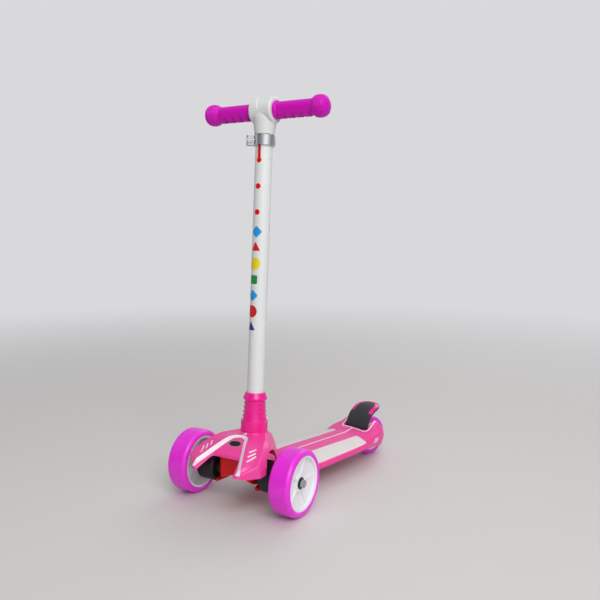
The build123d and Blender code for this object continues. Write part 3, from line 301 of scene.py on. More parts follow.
# Moulded nylon head: white, slightly duller than the tube
WHITE_NYLON = Finish("moulded_white_nylon", "E0E2E0", "D8DAD8", 0.38, grain_mm=1.0)
# Screen-printed ink: white, smooth and a little glossy on the hood and the tail
WHITE_INK = Finish(
    "screen_printed_white_ink", "F4EFF2", "EDE6EA", 0.3, grain=Grain.PEEL, depth_mm=0.01
)
# Gritty non-slip paint on the deck: off-white and matt, its grit drawn coarse enough to show
GRIT_PAINT = Finish(
    "non_slip_white_paint",
    "E9E4E2",
    "DCD6D4",
    0.62,
    grain=Grain.PEBBLE,
    grain_mm=2.4,
    depth_mm=0.22,
    mottle_mm=18,
)
# Moulded nylon of the core and the guide sleeve: a full red with a dull skin
RED_NYLON = Finish("moulded_red_nylon", "E80202", "D00101", 0.45, ior=1.38)
# Moulded polypropylene of the axle housings: black with a soft gloss, made darker than the pedal's
# black nylon by painted shade, for the shade the housings sit in under the hood
SHADED_BLACK_PP = Finish("moulded_black_pp_painted_shade", "0E0E10", "151518", 0.42, ior=1.45)
# Glass-filled nylon: black, matt and slightly coarse
BLACK_NYLON = Finish(
    "glass_filled_black_nylon", "2A2A2E", "36363B", 0.5, grain_mm=1.4, depth_mm=0.08
)
# Moulded rubber of the brake pad: black and matt, with no shine
BLACK_RUBBER = Finish(
    "black_rubber", "141416", "1E1E20", 0.75, grain=Grain.PEBBLE, grain_mm=1.6, depth_mm=0.1
)
# Thermoplastic rubber grips: magenta, fine pebble that catches a soft sheen
GRIP_RUBBER = Finish(
    "magenta_grip_rubber",
    "D602BC",
    "C600AE",
    0.46,
    grain=Grain.PEBBLE,
    grain_mm=1.5,
    depth_mm=0.06,
    ior=1.36,
)
# Chromed steel: bright with faint polishing lines
CHROME = Finish(
    "polished_chrome",
    "DADCE0",
    "CBCDD1",
    0.09,
    grain=Grain.BRUSHED,
    grain_mm=0.6,
    depth_mm=0.01,
    metallic=1.0,
)
# Zinc-plated steel fasteners: grey with turning lines
ZINC = Finish(
    "zinc_plated_steel", "C2C4C8", "ABADB2", 0.27, grain=Grain.BRUSHED, grain_mm=0.5, metallic=1.0
)
# Bearing steel: dark shields of the wheel bearings
BEARING = Finish(
    "bearing_steel", "55565B", "3F4044", 0.35, grain=Grain.BRUSHED, grain_mm=0.5, metallic=1.0
)
# Bare drawn aluminium: pale grey with lengthwise draw lines
DRAWN_ALUMINIUM = Finish(
    "drawn_aluminium", "C4C6C9", "B4B6BA", 0.3, grain=Grain.BRUSHED, grain_mm=0.7, metallic=1.0
)
# Acetal bushes: creamy white and waxy
ACETAL = Finish("turned_acetal", "E8E4DA", "DCD8CE", 0.4)
# Enamel of the badge: near black, with a satin skin
DARK_ENAMEL = Finish("dark_enamel", "0A0A0D", "111116", 0.32, ior=1.4)


def dress(finish: Finish, *nodes: str) -> None:
    """Give CAD nodes a finish.

    Args:
        finish: the finish to use.
        nodes: names of the CAD nodes.
    """
    for name in nodes:
        mesh = frame["nodes"][name].data
        mesh.materials.clear()
        mesh.materials.append(finish.material())
        LOG.info("dressed %s in %s", name, finish.name)


def settle(
    name: str, mesh: bpy.types.Mesh, finish: Finish, body: str
) -> bpy.types.Object:
    """Put a new mesh into the scene as a piece of the scooter.

    Args:
        name: the piece's name.
        mesh: its mesh, in metres in the shared frame.
        finish: its material.
        body: the CAD body it rides on.

    Returns:
        The new piece.
    """
    piece = bpy.data.objects.new(name, mesh)
    bpy.context.scene.collection.objects.link(piece)
    mesh.materials.append(finish.material())
    mesh.shade_smooth()
    mesh.set_sharp_from_angle(angle=SHARP_EDGE)
    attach(piece, body)
    LOG.info("made %s with %d faces", name, len(mesh.polygons))
    return piece


def joint(name: str) -> dict[str, Any]:
    """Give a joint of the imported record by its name."""
    return next(j for j in frame["record"]["behaviour"]["joints"] if j["name"] == name)


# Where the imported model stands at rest: its front axle, its steered frame and its pole
WHEEL_LINE = Vector(joint("front_left_spin")["axis"])
STEER = Matrix.Rotation(math.atan2(WHEEL_LINE.y, WHEEL_LINE.x), 3, "Z")
POLE_LINE = Vector(joint("handlebar_height")["axis"])
POLE_FOOT_MM = Vector((0.0, 0.0, 54.0))
POLE_FRONT = WHEEL_LINE.cross(POLE_LINE).normalized()
POLE_RADIUS = 16.0 * MM
# Rays start this far off, outside every piece that they aim at
FAR_MM = 300.0
# Lie of the hood's top: its front edge along and up, its slant, its flat height, and the rays' tilt
HOOD_BROW_MM = (-58.0, 117.5)
HOOD_SLANT = 31.0 / 63.0
HOOD_PLATEAU_MM = 122.5
HOOD_TILT = math.radians(35)


def above_deck(u: float, v: float) -> Ray:
    """Aim down at the deck from a place on it in millimetres."""
    return Vector((u, v, FAR_MM)) * MM, Vector((0.0, 0.0, -1.0))


def above_hood(u: float, v: float) -> Ray:
    """Aim down at the hood from a place in the steered frame in millimetres."""
    return STEER @ Vector((u, v, FAR_MM)) * MM, Vector((0.0, 0.0, -1.0))


def over_hood(u: float, v: float) -> Ray:
    """Aim at the hood from above its front, so that the rays also meet its front edge.

    Args:
        u: place across the steered frame, in millimetres.
        v: place along it.

    Returns:
        A ray through the hood's slanting top at that place.
    """
    top = min(HOOD_BROW_MM[1] + (v - HOOD_BROW_MM[0]) * HOOD_SLANT, HOOD_PLATEAU_MM)
    aim = STEER @ Vector((0.0, math.sin(HOOD_TILT), -math.cos(HOOD_TILT)))
    return STEER @ Vector((u, v, top)) * MM - aim * FAR_MM * MM, aim


def round_pole(u: float, v: float) -> Ray:
    """Aim at the pole's axis from outside the pole.

    Args:
        u: place round the pole from its front, in millimetres.
        v: place along it from its foot.

    Returns:
        A ray square to the pole at that place.
    """
    turn = u * MM / POLE_RADIUS
    out = POLE_FRONT * math.cos(turn) + WHEEL_LINE * math.sin(turn)
    return (POLE_FOOT_MM + POLE_LINE * v) * MM + out * FAR_MM * MM, -out


def beside(side: Side) -> Aim:
    """Give the function that aims at one side of the deck from a place along and up it."""
    return lambda u, v: (Vector((side.value * FAR_MM, u, v)) * MM, Vector((-side.value, 0.0, 0.0)))


class Surface:
    """Outside of CAD nodes and earlier pieces, found by rays."""

    def __init__(self, *objects: bpy.types.Object) -> None:
        """Keep a search tree for each object.

        Args:
            objects: meshes that stand in the shared frame.
        """
        self.trees = [
            BVHTree.FromPolygons(
                [vert.co for vert in item.data.vertices],
                [list(face.vertices) for face in item.data.polygons],
            )
            for item in objects
        ]

    def hit(self, ray: Ray) -> Ray | None:
        """Find the first point that a ray meets.

        Args:
            ray: where the ray starts and its direction.

        Returns:
            The point and the surface's normal there, or nothing where the ray misses.
        """
        found = [tree.ray_cast(*ray) for tree in self.trees]
        near = [(spot[3], spot[0], spot[1]) for spot in found if spot[0] is not None]
        if not near:
            return None
        _, place, normal = min(near, key=lambda item: item[0])
        return place, normal if normal.dot(ray[1]) < 0 else -normal


def rounded(points: Outline, cut: float, closed: bool = False, steps: int = 6) -> Outline:
    """Round the corners of a line.

    Args:
        points: the corners, in millimetres.
        cut: how far before and after a corner its curve starts.
        closed: whether the last point joins the first.
        steps: how many pieces each curve gets.

    Returns:
        The line with a curve in place of each corner.
    """
    line: Outline = []
    count = len(points)
    for index, corner in enumerate(points):
        if not closed and index in (0, count - 1):
            line.append(corner)
            continue
        middle = Vector(corner)
        ends = []
        for other in (points[index - 1], points[(index + 1) % count]):
            run = Vector(other) - middle
            ends.append(middle + run.normalized() * min(cut, run.length / 2))
        for step in range(steps + 1):
            share = step / steps
            left = 1 - share
            spot = ends[0] * left**2 + middle * 2 * share * left + ends[1] * share**2
            line.append((spot.x, spot.y))
    return line


def evenly(points: Outline, step: float) -> Outline:
    """Space points evenly along a line.

    Args:
        points: the line, in millimetres.
        step: the spacing to come near to.

    Returns:
        Points at even distances, the first and last kept.
    """
    runs = [math.dist(a, b) for a, b in zip(points, points[1:])]
    count = max(round(sum(runs) / step), 1)
    line: Outline = []
    for index in range(count + 1):
        left = sum(runs) * index / count
        for run, start, end in zip(runs, points, points[1:]):
            if left <= run or end is points[-1]:
                share = min(left / run, 1.0)
                across, along = end[0] - start[0], end[1] - start[1]
                line.append((start[0] + across * share, start[1] + along * share))
                break
            left -= run
    return line


def mirrored(points: Outline) -> Outline:
    """Give a line's mirror image across the scooter's middle."""
    return [(-u, v) for u, v in reversed(points)]


def stroke(start: Point, end: Point, width: float) -> Outline:
    """Outline a straight stroke of a brush.

    Args:
        start: where it starts, in millimetres.
        end: where it ends.
        width: how wide it is.

    Returns:
        Its four corners.
    """
    run = (Vector(end) - Vector(start)).normalized() * width / 2
    return [
        (start[0] - run.y, start[1] + run.x),
        (start[0] + run.y, start[1] - run.x),
        (end[0] + run.y, end[1] - run.x),
        (end[0] - run.y, end[1] + run.x),
    ]


@dataclass
class Sheet:
    """Flat faces to lay on a surface: their points in millimetres and how far each is lifted."""

    points: list[Point] = field(default_factory=list)
    lifts: list[float] = field(default_factory=list)
    faces: list[tuple[int, ...]] = field(default_factory=list)

    @classmethod
    def fill(cls, outlines: list[Outline], step: float) -> "Sheet":
        """Fill outlines with small faces.

        Args:
            outlines: closed outlines, in millimetres.
            step: the size of the faces.

        Returns:
            The filled sheet, without lift.
        """
        mesh = bmesh.new()
        for outline in outlines:
            mesh.faces.new([mesh.verts.new((u, v, 0.0)) for u, v in outline])
        bmesh.ops.triangulate(mesh, faces=mesh.faces[:])
        for axis in (0, 1):
            reach = [vert.co[axis] for vert in mesh.verts]
            across = Vector((1.0 - axis, float(axis), 0.0))
            for index in range(1, math.ceil((max(reach) - min(reach)) / step)):
                bmesh.ops.bisect_plane(
                    mesh,
                    geom=mesh.verts[:] + mesh.edges[:] + mesh.faces[:],
                    plane_co=across * (min(reach) + index * step),
                    plane_no=across,
                )
        bmesh.ops.triangulate(mesh, faces=mesh.faces[:])
        mesh.verts.index_update()
        points = [(vert.co.x, vert.co.y) for vert in mesh.verts]
        faces = []
        for face in mesh.faces:
            corners = [vert.index for vert in face.verts]
            faces.append(tuple(corners if face.normal.z > 0 else reversed(corners)))
        mesh.free()
        return cls(points, [0.0] * len(points), faces)

    @classmethod
    def band(cls, path: Outline, profile: Profile) -> "Sheet":
        """Make a band along a path.

        Args:
            path: the line it follows, in millimetres.
            profile: gives the band's section at a place on the path, for the direction to the
                path's right, as distances that way and lifts.

        Returns:
            The band as rows of four-cornered faces.
        """
        sheet = cls()
        row = 0
        for index, spot in enumerate(path):
            run = Vector(path[min(index + 1, len(path) - 1)]) - Vector(path[max(index - 1, 0)])
            right = Vector((run.y, -run.x)).normalized()
            section = profile(spot, right)
            row = len(section)
            for offset, lift in section:
                sheet.points.append((spot[0] + right.x * offset, spot[1] + right.y * offset))
                sheet.lifts.append(lift)
        for index in range(len(path) - 1):
            for column in range(row - 1):
                low = index * row + column
                sheet.faces.append((low, low + 1, low + row + 1, low + row))
        return sheet

    def lay(
        self, name: str, surface: Surface, aim: Aim, skin: float, sink: float
    ) -> bpy.types.Mesh:
        """Lay the sheet on a surface as a thin closed solid.

        Args:
            name: the mesh's name.
            surface: what the sheet lies on.
            aim: turns a point of the sheet into a ray at the surface.
            skin: height of the sheet's face over the surface, in millimetres.
            sink: depth of its back under the surface, in millimetres.

        Returns:
            The new mesh.
        """
        spots = [surface.hit(aim(*point)) for point in self.points]
        faces = [face for face in self.faces if all(spots[corner] for corner in face)]
        used = sorted({corner for face in faces for corner in face})
        count = len(used)
        order = {corner: index for index, corner in enumerate(used)}
        tops, backs = [], []
        for corner in used:
            place, normal = spots[corner]
            tops.append(place + normal * (skin + self.lifts[corner]) * MM)
            backs.append(place - normal * sink * MM)
        fronts = [tuple(order[corner] for corner in face) for face in faces]
        edges = {(a, b) for face in fronts for a, b in zip(face, face[1:] + face[:1])}
        walls = [(b, a, a + count, b + count) for a, b in edges if (b, a) not in edges]
        undersides = [tuple(corner + count for corner in reversed(face)) for face in fronts]
        mesh = bpy.data.meshes.new(name)
        mesh.from_pydata(tops + backs, [], fronts + sorted(walls) + undersides)
        mesh.validate()
        return mesh


@dataclass(frozen=True)
class Film:
    """Thin print on a CAD surface: ink with a little thickness, so that its edge is real."""

    finish: Finish
    body: str
    slot: str = "tube_white"
    step_mm: float = 3.0
    skin_mm: float = 0.15
    sink_mm: float = 0.1

    def print(
        self, name: str, outlines: list[Outline], surface: Surface, aim: Aim
    ) -> bpy.types.Object:
        """Print filled outlines on a surface.

        Args:
            name: the piece's name.
            outlines: closed outlines, in millimetres.
            surface: what is printed on.
            aim: turns a point of an outline into a ray at the surface.

        Returns:
            The printed piece.
        """
        sheet = Sheet.fill(outlines, self.step_mm)
        mesh = sheet.lay(name, surface, aim, self.skin_mm, self.sink_mm)
        return settle(name, mesh, self.finish, self.body)

    def line(
        self, name: str, path: Outline, width: float, surface: Surface, aim: Aim
    ) -> bpy.types.Object:
        """Print a line of even width on a surface.

        Args:
            name: the piece's name.
            path: the middle of the line, in millimetres.
            width: how wide it is, in millimetres.
            surface: what is printed on.
            aim: turns a point of the path into a ray at the surface.

        Returns:
            The printed piece.
        """
        section = [(-width / 2, 0.0), (0.0, 0.0), (width / 2, 0.0)]
        sheet = Sheet.band(evenly(path, self.step_mm / 2), lambda spot, right: section)
        mesh = sheet.lay(name, surface, aim, self.skin_mm, self.sink_mm)
        return settle(name, mesh, self.finish, self.body)


@dataclass
class Deck:
    """Footboard with its non-slip bands, printed lines and the fixed pins and axle in it."""

    band_inner_x: float = 28.5
    band_front_y: float = 88.0
    band_rear_y: float = 263.0
    band_outer: tuple[Point, ...] = ((60.0, 88.0), (70.5, 106.0), (66.3, 180.0), (60.0, 261.0))
    band_corner: float = 4.0
    stripe_width: float = 3.2
    rim_x: float = 36.3
    rim_front_y: float = 284.0
    rim_rear_y: float = 318.0
    rim_corner: float = 12.0
    rim_width: float = 2.6
    flash_feet: tuple[Point, ...] = ((285.0, 48.0), (290.0, 47.9), (295.0, 47.8))
    flash_run: Point = (5.5, 9.5)
    flash_width: float = 2.2

    def build(self) -> None:
        """Dress the deck and print its bands, lines and side flashes."""
        dress(PINK_ABS, "deck")
        dress(ACETAL, "steering_bushes")
        dress(ZINC, "rear_axle", "rear_axle_nuts", "rear_axle_spacers", "brake_pin")
        surface = Surface(frame["nodes"]["deck"])
        grit = Film(GRIT_PAINT, "deck")
        ink = Film(WHITE_INK, "deck")
        left = rounded(
            [
                (self.band_inner_x, self.band_front_y),
                *self.band_outer,
                (self.band_inner_x + self.band_corner / 2, self.band_rear_y),
                (self.band_inner_x, self.band_rear_y - 2 * self.band_corner),
            ],
            self.band_corner,
            closed=True,
        )
        grit.print("deck_band_left", [left], surface, above_deck)
        grit.print("deck_band_right", [mirrored(left)], surface, above_deck)
        stripe = [(0.0, self.band_front_y), (0.0, self.rim_front_y - self.rim_width / 2)]
        ink.line("deck_centre_stripe", stripe, self.stripe_width, surface, above_deck)
        side = [(self.rim_x, self.rim_rear_y), (self.rim_x, self.rim_front_y)]
        rim = rounded(side + mirrored(side), self.rim_corner)
        ink.line("deck_well_line", rim, self.rim_width, surface, above_deck)
        run_u, run_v = self.flash_run
        flashes = [
            stroke((u, v), (u + run_u, v + run_v), self.flash_width) for u, v in self.flash_feet
        ]
        for at in Side:
            ink.print(f"deck_flashes_{at.word}", flashes, surface, beside(at))


@dataclass
class RearWheel:
    """Rear wheel: urethane tread on a white rim with its bearings."""

    def build(self) -> None:
        """Dress the wheel."""
        dress(VIOLET_URETHANE, "rear_tyre")
        dress(WHITE_PP, "rear_rim")
        dress(BEARING, "rear_bearings")
        dress(ZINC, "rear_bearing_spacer")


@dataclass
class FootBrake:
    """Foot brake: black pedal with its pink inlay, pad and spring."""

    def build(self) -> None:
        """Dress the brake."""
        dress(BLACK_NYLON, "brake_pedal")
        dress(PINK_GLOSS_ABS, "brake_inlay")
        dress(BLACK_RUBBER, "brake_pad")
        dress(ZINC, "brake_spring")


@dataclass
class FrontTruck:
    """Steered front: red core, black housings, and the pink hood with its raised white chevron."""

    end: Point = (44.0, -119.0)
    tip: Point = (42.5, -110.0)
    shoulder: Point = (10.5, -41.0)
    apex: Point = (0.0, -36.0)
    corner_cut: float = 6.0
    chevron_width: float = 7.2
    chevron_rise: float = 4.6
    apex_rise: float = 0.3
    full_rise_x: float = 26.0
    full_rise_room: float = 10.0
    slope_width: float = 22.0
    slope_margin: float = 6.0
    tick_start_y: float = -31.0
    tick_end_y: float = -20.8
    tick_width: float = 4.2
    slash_ends: tuple[tuple[Point, Point], ...] = (
        ((42.0, -73.0), (49.0, -60.5)),
        ((45.5, -82.5), (53.0, -68.5)),
        ((50.0, -92.5), (57.5, -74.0)),
    )
    slash_width: float = 2.8
    step: float = 2.5
    skin: float = 0.15
    reach_step: float = 1.0
    face_steps: int = 4
    slope_steps: int = 10
    hood: Surface = field(init=False, repr=False)

    def build(self) -> None:
        """Dress the front, raise the chevron with its slopes, and print the slashes and tick."""
        dress(RED_NYLON, "truck_core")
        # The housings' black is deepened with painted shade, darker than the pedal's nylon
        dress(SHADED_BLACK_PP, "axle_housing_left", "axle_housing_right")
        dress(PINK_ABS, "front_shell")
        dress(CHROME, "badge_frame")
        dress(DARK_ENAMEL, "badge_face")
        dress(ZINC, "kingpin", "kingpin_nut", "kingpin_washer", "column_bolt", "column_nut")
        dress(ZINC, "hood_screws", "front_axle", "front_axle_nuts")
        dress(BEARING, "front_axle_washers")
        self.hood = Surface(frame["nodes"]["front_shell"])
        side = [self.end, self.tip, self.shoulder]
        path = evenly(rounded([*side, self.apex, *mirrored(side)], self.corner_cut), self.step)
        self.raised("hood_chevron", path, self.face, WHITE_INK)
        slopes = self.raised("hood_slopes", path, self.slope, PINK_ABS)
        wings = Surface(frame["nodes"]["front_shell"], slopes)
        ink = Film(WHITE_INK, "truck")
        tick = [(0.0, self.tick_start_y), (0.0, self.tick_end_y)]
        ink.line("hood_tick", tick, self.tick_width, wings, above_hood)
        outlines = [stroke(start, end, self.slash_width) for start, end in self.slash_ends]
        others = [mirrored(outline) for outline in outlines]
        ink.print("hood_slashes_left", outlines, wings, above_hood)
        ink.print("hood_slashes_right", others, wings, above_hood)

    def raised(
        self, name: str, path: Outline, profile: Profile, finish: Finish
    ) -> bpy.types.Object:
        """Make a raised band on the hood.

        Args:
            name: the piece's name.
            path: the chevron's inner edge, in millimetres.
            profile: the band's section, as Sheet.band takes it.
            finish: its material.

        Returns:
            The new piece.
        """
        mesh = Sheet.band(path, profile).lay(name, self.hood, over_hood, self.skin, self.skin)
        return settle(name, mesh, finish, "truck")

    def reach(self, spot: Point, right: Vector) -> float:
        """Find how far the slope behind the chevron can run before the hood ends.

        Args:
            spot: a place on the chevron's inner edge, in millimetres.
            right: the direction outward from it.

        Returns:
            The slope's width there, in millimetres.
        """
        width = self.slope_width
        while width > self.reach_step:
            end = Vector(spot) + right * (self.chevron_width + width + self.slope_margin)
            if self.hood.hit(above_hood(*end)):
                break
            width -= self.reach_step
        return width

    def peak(self, spot: Point, right: Vector) -> float:
        """Give the height of the chevron's outer edge, low at the apex and on a narrow hood.

        Args:
            spot: a place on the chevron's inner edge, in millimetres.
            right: the direction outward from it.

        Returns:
            The height over the hood, in millimetres.
        """
        share = min(abs(spot[0]) / self.full_rise_x, 1.0)
        room = min(self.reach(spot, right) / self.full_rise_room, 1.0)
        return self.chevron_rise * (self.apex_rise + (1 - self.apex_rise) * share) * room

    def face(self, spot: Point, right: Vector) -> list[Point]:
        """Give the white face's section, from its inner edge up to its outer edge."""
        peak, last = self.peak(spot, right), self.face_steps
        return [(self.chevron_width * i / last, peak * i / last) for i in range(last + 1)]

    def slope(self, spot: Point, right: Vector) -> list[Point]:
        """Give the pink slope's section, eased down from the chevron's outer edge to the hood.

        Args:
            spot: a place on the chevron's inner edge, in millimetres.
            right: the direction outward from it.

        Returns:
            Distances from the inner edge, each with its height over the hood.
        """
        peak, width = self.peak(spot, right), self.reach(spot, right)
        falls = [i / self.slope_steps for i in range(self.slope_steps + 1)]
        return [
            (self.chevron_width + width * fall, peak * (1 + math.cos(math.pi * fall)) / 2)
            for fall in falls
        ]


@dataclass
class FrontWheel:
    """One front wheel: urethane tread on a dished white rim with its bearings."""

    side: Side

    def build(self) -> None:
        """Dress the wheel."""
        name = f"front_{self.side.word}"
        dress(VIOLET_URETHANE, f"{name}_tyre")
        dress(WHITE_PP, f"{name}_rim")
        dress(BEARING, f"{name}_bearings")
        dress(ZINC, f"{name}_bearing_spacer")


class Motif(Enum):
    """Plain printed shapes, each with its number of corners and its turn in degrees."""

    DISC = (40, 0.0)
    DIAMOND = (4, 0.0)
    SQUARE = (4, 45.0)
    TRIANGLE = (3, 90.0)

    def outline(self, radius: float, centre_v: float, cut: float) -> Outline:
        """Draw the shape.

        Args:
            radius: distance of its corners from its middle, in millimetres.
            centre_v: height of its middle along the pole.
            cut: how far its corners are rounded.

        Returns:
            The closed outline round the pole's front.
        """
        count, turn = self.value
        angles = [math.radians(turn + 360 * index / count) for index in range(count)]
        corners = [(radius * math.cos(a), centre_v + radius * math.sin(a)) for a in angles]
        return corners if self is Motif.DISC else rounded(corners, cut, closed=True)


def ink_colour(word: str, colour: str, shade: str) -> Finish:
    """Screen-printed ink of one colour: smooth, even and a little glossy."""
    return Finish(f"screen_printed_{word}_ink", colour, shade, 0.3, grain=Grain.PEEL, depth_mm=0.01)


# Screen-printed inks of the pole's shapes: clear, even colours with a little gloss
SKY_INK = ink_colour("sky_blue", "1E9FE0", "1894D6")
RED_INK = ink_colour("red", "D4141C", "C90F18")
YELLOW_INK = ink_colour("yellow", "F0D81C", "E8CE14")
GREEN_INK = ink_colour("green", "169040", "128639")
INDIGO_INK = ink_colour("indigo", "2C2A8C", "262480")


@dataclass
class Pole:
    """Lower pole with its collar, guide sleeve, clamp and a row of printed shapes."""

    motifs: tuple[tuple[Motif, Finish], ...] = (
        (Motif.DIAMOND, SKY_INK),
        (Motif.TRIANGLE, RED_INK),
        (Motif.DISC, YELLOW_INK),
        (Motif.SQUARE, GREEN_INK),
        (Motif.DIAMOND, SKY_INK),
        (Motif.DISC, RED_INK),
        (Motif.TRIANGLE, INDIGO_INK),
    )
    motif_top: float = 446.0
    motif_pitch: float = 29.5
    motif_radius: float = 11.5
    motif_drift: float = -1.0
    motif_cut: float = 3.0
    motif_step: float = 1.5
    motif_skin: float = 0.12

    def build(self) -> None:
        """Dress the pole and print the shapes down its front."""
        dress(WHITE_POWDER, "lower_tube")
        dress(RED_NYLON, "guide_sleeve")
        dress(PINK_GLOSS_ABS, "collar_ring", "collar_sleeve", "collar_cap")
        dress(CHROME, "clamp_collar", "clamp_lever")
        dress(ZINC, "clamp_bolt", "clamp_barrel")
        tube = Surface(frame["nodes"]["lower_tube"])
        for index, (motif, finish) in enumerate(self.motifs):
            level = self.motif_top - index * self.motif_pitch
            drift = index * self.motif_drift
            shape = motif.outline(self.motif_radius, level, self.motif_cut)
            outline = [(u + drift, v) for u, v in shape]
            film = Film(finish, "truck", step_mm=self.motif_step, skin_mm=self.motif_skin)
            film.print(f"pole_shape_{index + 1}", [outline], tube, round_pole)


@dataclass
class Handlebar:
    """Sliding handlebar: head, tubes, and grips with ring ridges on their ball ends."""

    bar_height: float = 669.2
    ring_places: tuple[float, ...] = (108.0, 112.0, 116.0, 120.0, 124.0, 127.5)
    ring_half: float = 1.1
    ring_height: float = 1.0
    ring_sink: float = 0.15
    ring_shares: tuple[float, ...] = (-1.0, -0.6, 0.0, 0.6, 1.0)
    segments: int = 72

    def build(self) -> None:
        """Dress the handlebar and ring the ends of its grips."""
        dress(WHITE_NYLON, "handlebar_head")
        dress(DRAWN_ALUMINIUM, "upper_tube", "cross_tube")
        dress(BLACK_NYLON, "tube_plug")
        dress(ZINC, "head_bolt")
        dress(GRIP_RUBBER, "grip_left", "grip_right")
        for side in Side:
            self.ring_grip(side)

    def ring_grip(self, side: Side) -> bpy.types.Object:
        """Make the ridges round one grip's ball end.

        Args:
            side: the grip to ring.

        Returns:
            The ridges of that grip.
        """
        grip = Surface(frame["nodes"][f"grip_{side.word}"])
        middle = (POLE_FOOT_MM + POLE_LINE * self.bar_height) * MM
        along = WHEEL_LINE * side.value
        verts: list[Vector] = []
        faces: list[tuple[int, ...]] = []
        for place in self.ring_places:
            profile = self.ridge(grip, middle, along, place)
            start, row = len(verts), len(profile)
            for index in range(self.segments):
                turn = math.tau * index / self.segments
                out = POLE_LINE * math.cos(turn) + along.cross(POLE_LINE) * math.sin(turn)
                verts += [middle + along * run + out * radius for run, radius in profile]
                low, high = start + index * row, start + (index + 1) % self.segments * row
                for column in range(row):
                    after = (column + 1) % row
                    faces.append((low + column, low + after, high + after, high + column))
        mesh = bpy.data.meshes.new(f"grip_rings_{side.word}")
        mesh.from_pydata(verts, [], faces)
        return settle(mesh.name, mesh, GRIP_RUBBER, "handlebar")

    def ridge(self, grip: Surface, middle: Vector, along: Vector, place: float) -> list[Point]:
        """Give one ridge's section, a low round back with its foot in the grip.

        Args:
            grip: the grip's outside.
            middle: the middle of the handlebar.
            along: direction from there to the grip.
            place: distance of the ridge from the middle, in millimetres.

        Returns:
            Closed section as distances along the bar and radii, in metres.
        """
        section = []
        for share in self.ring_shares:
            run = (place + share * self.ring_half) * MM
            foot = middle + along * run
            spot = grip.hit((foot + POLE_LINE * FAR_MM * MM, -POLE_LINE))
            radius = (spot[0] - foot).length if spot else 0.0
            lift = self.ring_height * (1 - share**2) - self.ring_sink
            section.append((run, radius + lift * MM))
        return section


@dataclass(frozen=True)
class Glow:
    """A soft bright side of the room, such as its window or its wall."""

    side: Place
    focus: float
    strength: float

    def added(self, tree: Tree, ray: Socket, before: Socket | float) -> Socket:
        """Add this glow to the room's light.

        Args:
            tree: the world's node tree.
            ray: the direction of the ray.
            before: the light that is there already.

        Returns:
            The socket of the light with this glow in it.
        """
        side = Vector(self.side).normalized()
        toward = add_node(
            tree, "ShaderNodeVectorMath", {"operation": "DOT_PRODUCT"}, {0: ray, 1: side}
        )
        share = add_node(
            tree,
            "ShaderNodeMapRange",
            inputs={"Value": toward.outputs["Value"], "From Min": -1.0},
        )
        power = add_node(
            tree,
            "ShaderNodeMath",
            {"operation": "POWER"},
            {0: share.outputs["Result"], 1: self.focus},
        )
        total = add_node(
            tree,
            "ShaderNodeMath",
            {"operation": "MULTIPLY_ADD"},
            {0: power.outputs["Value"], 1: self.strength, 2: before},
        )
        return total.outputs["Value"]


@dataclass(frozen=True)
class Lamp:
    """A square lamp: where it hangs and how wide it is, in metres, and its watts."""

    name: str
    place: Place
    width: float
    watts: float

    def hang(self, target: Vector) -> None:
        """Hang the lamp and turn it toward the scooter.

        Args:
            target: the point that it shines at.
        """
        data = bpy.data.lights.new(self.name, "AREA")
        data.size = self.width
        data.energy = self.watts
        lamp = bpy.data.objects.new(self.name, data)
        lamp.location = self.place
        lamp.rotation_euler = (target - lamp.location).to_track_quat("-Z", "Y").to_euler()
        bpy.context.scene.collection.objects.link(lamp)


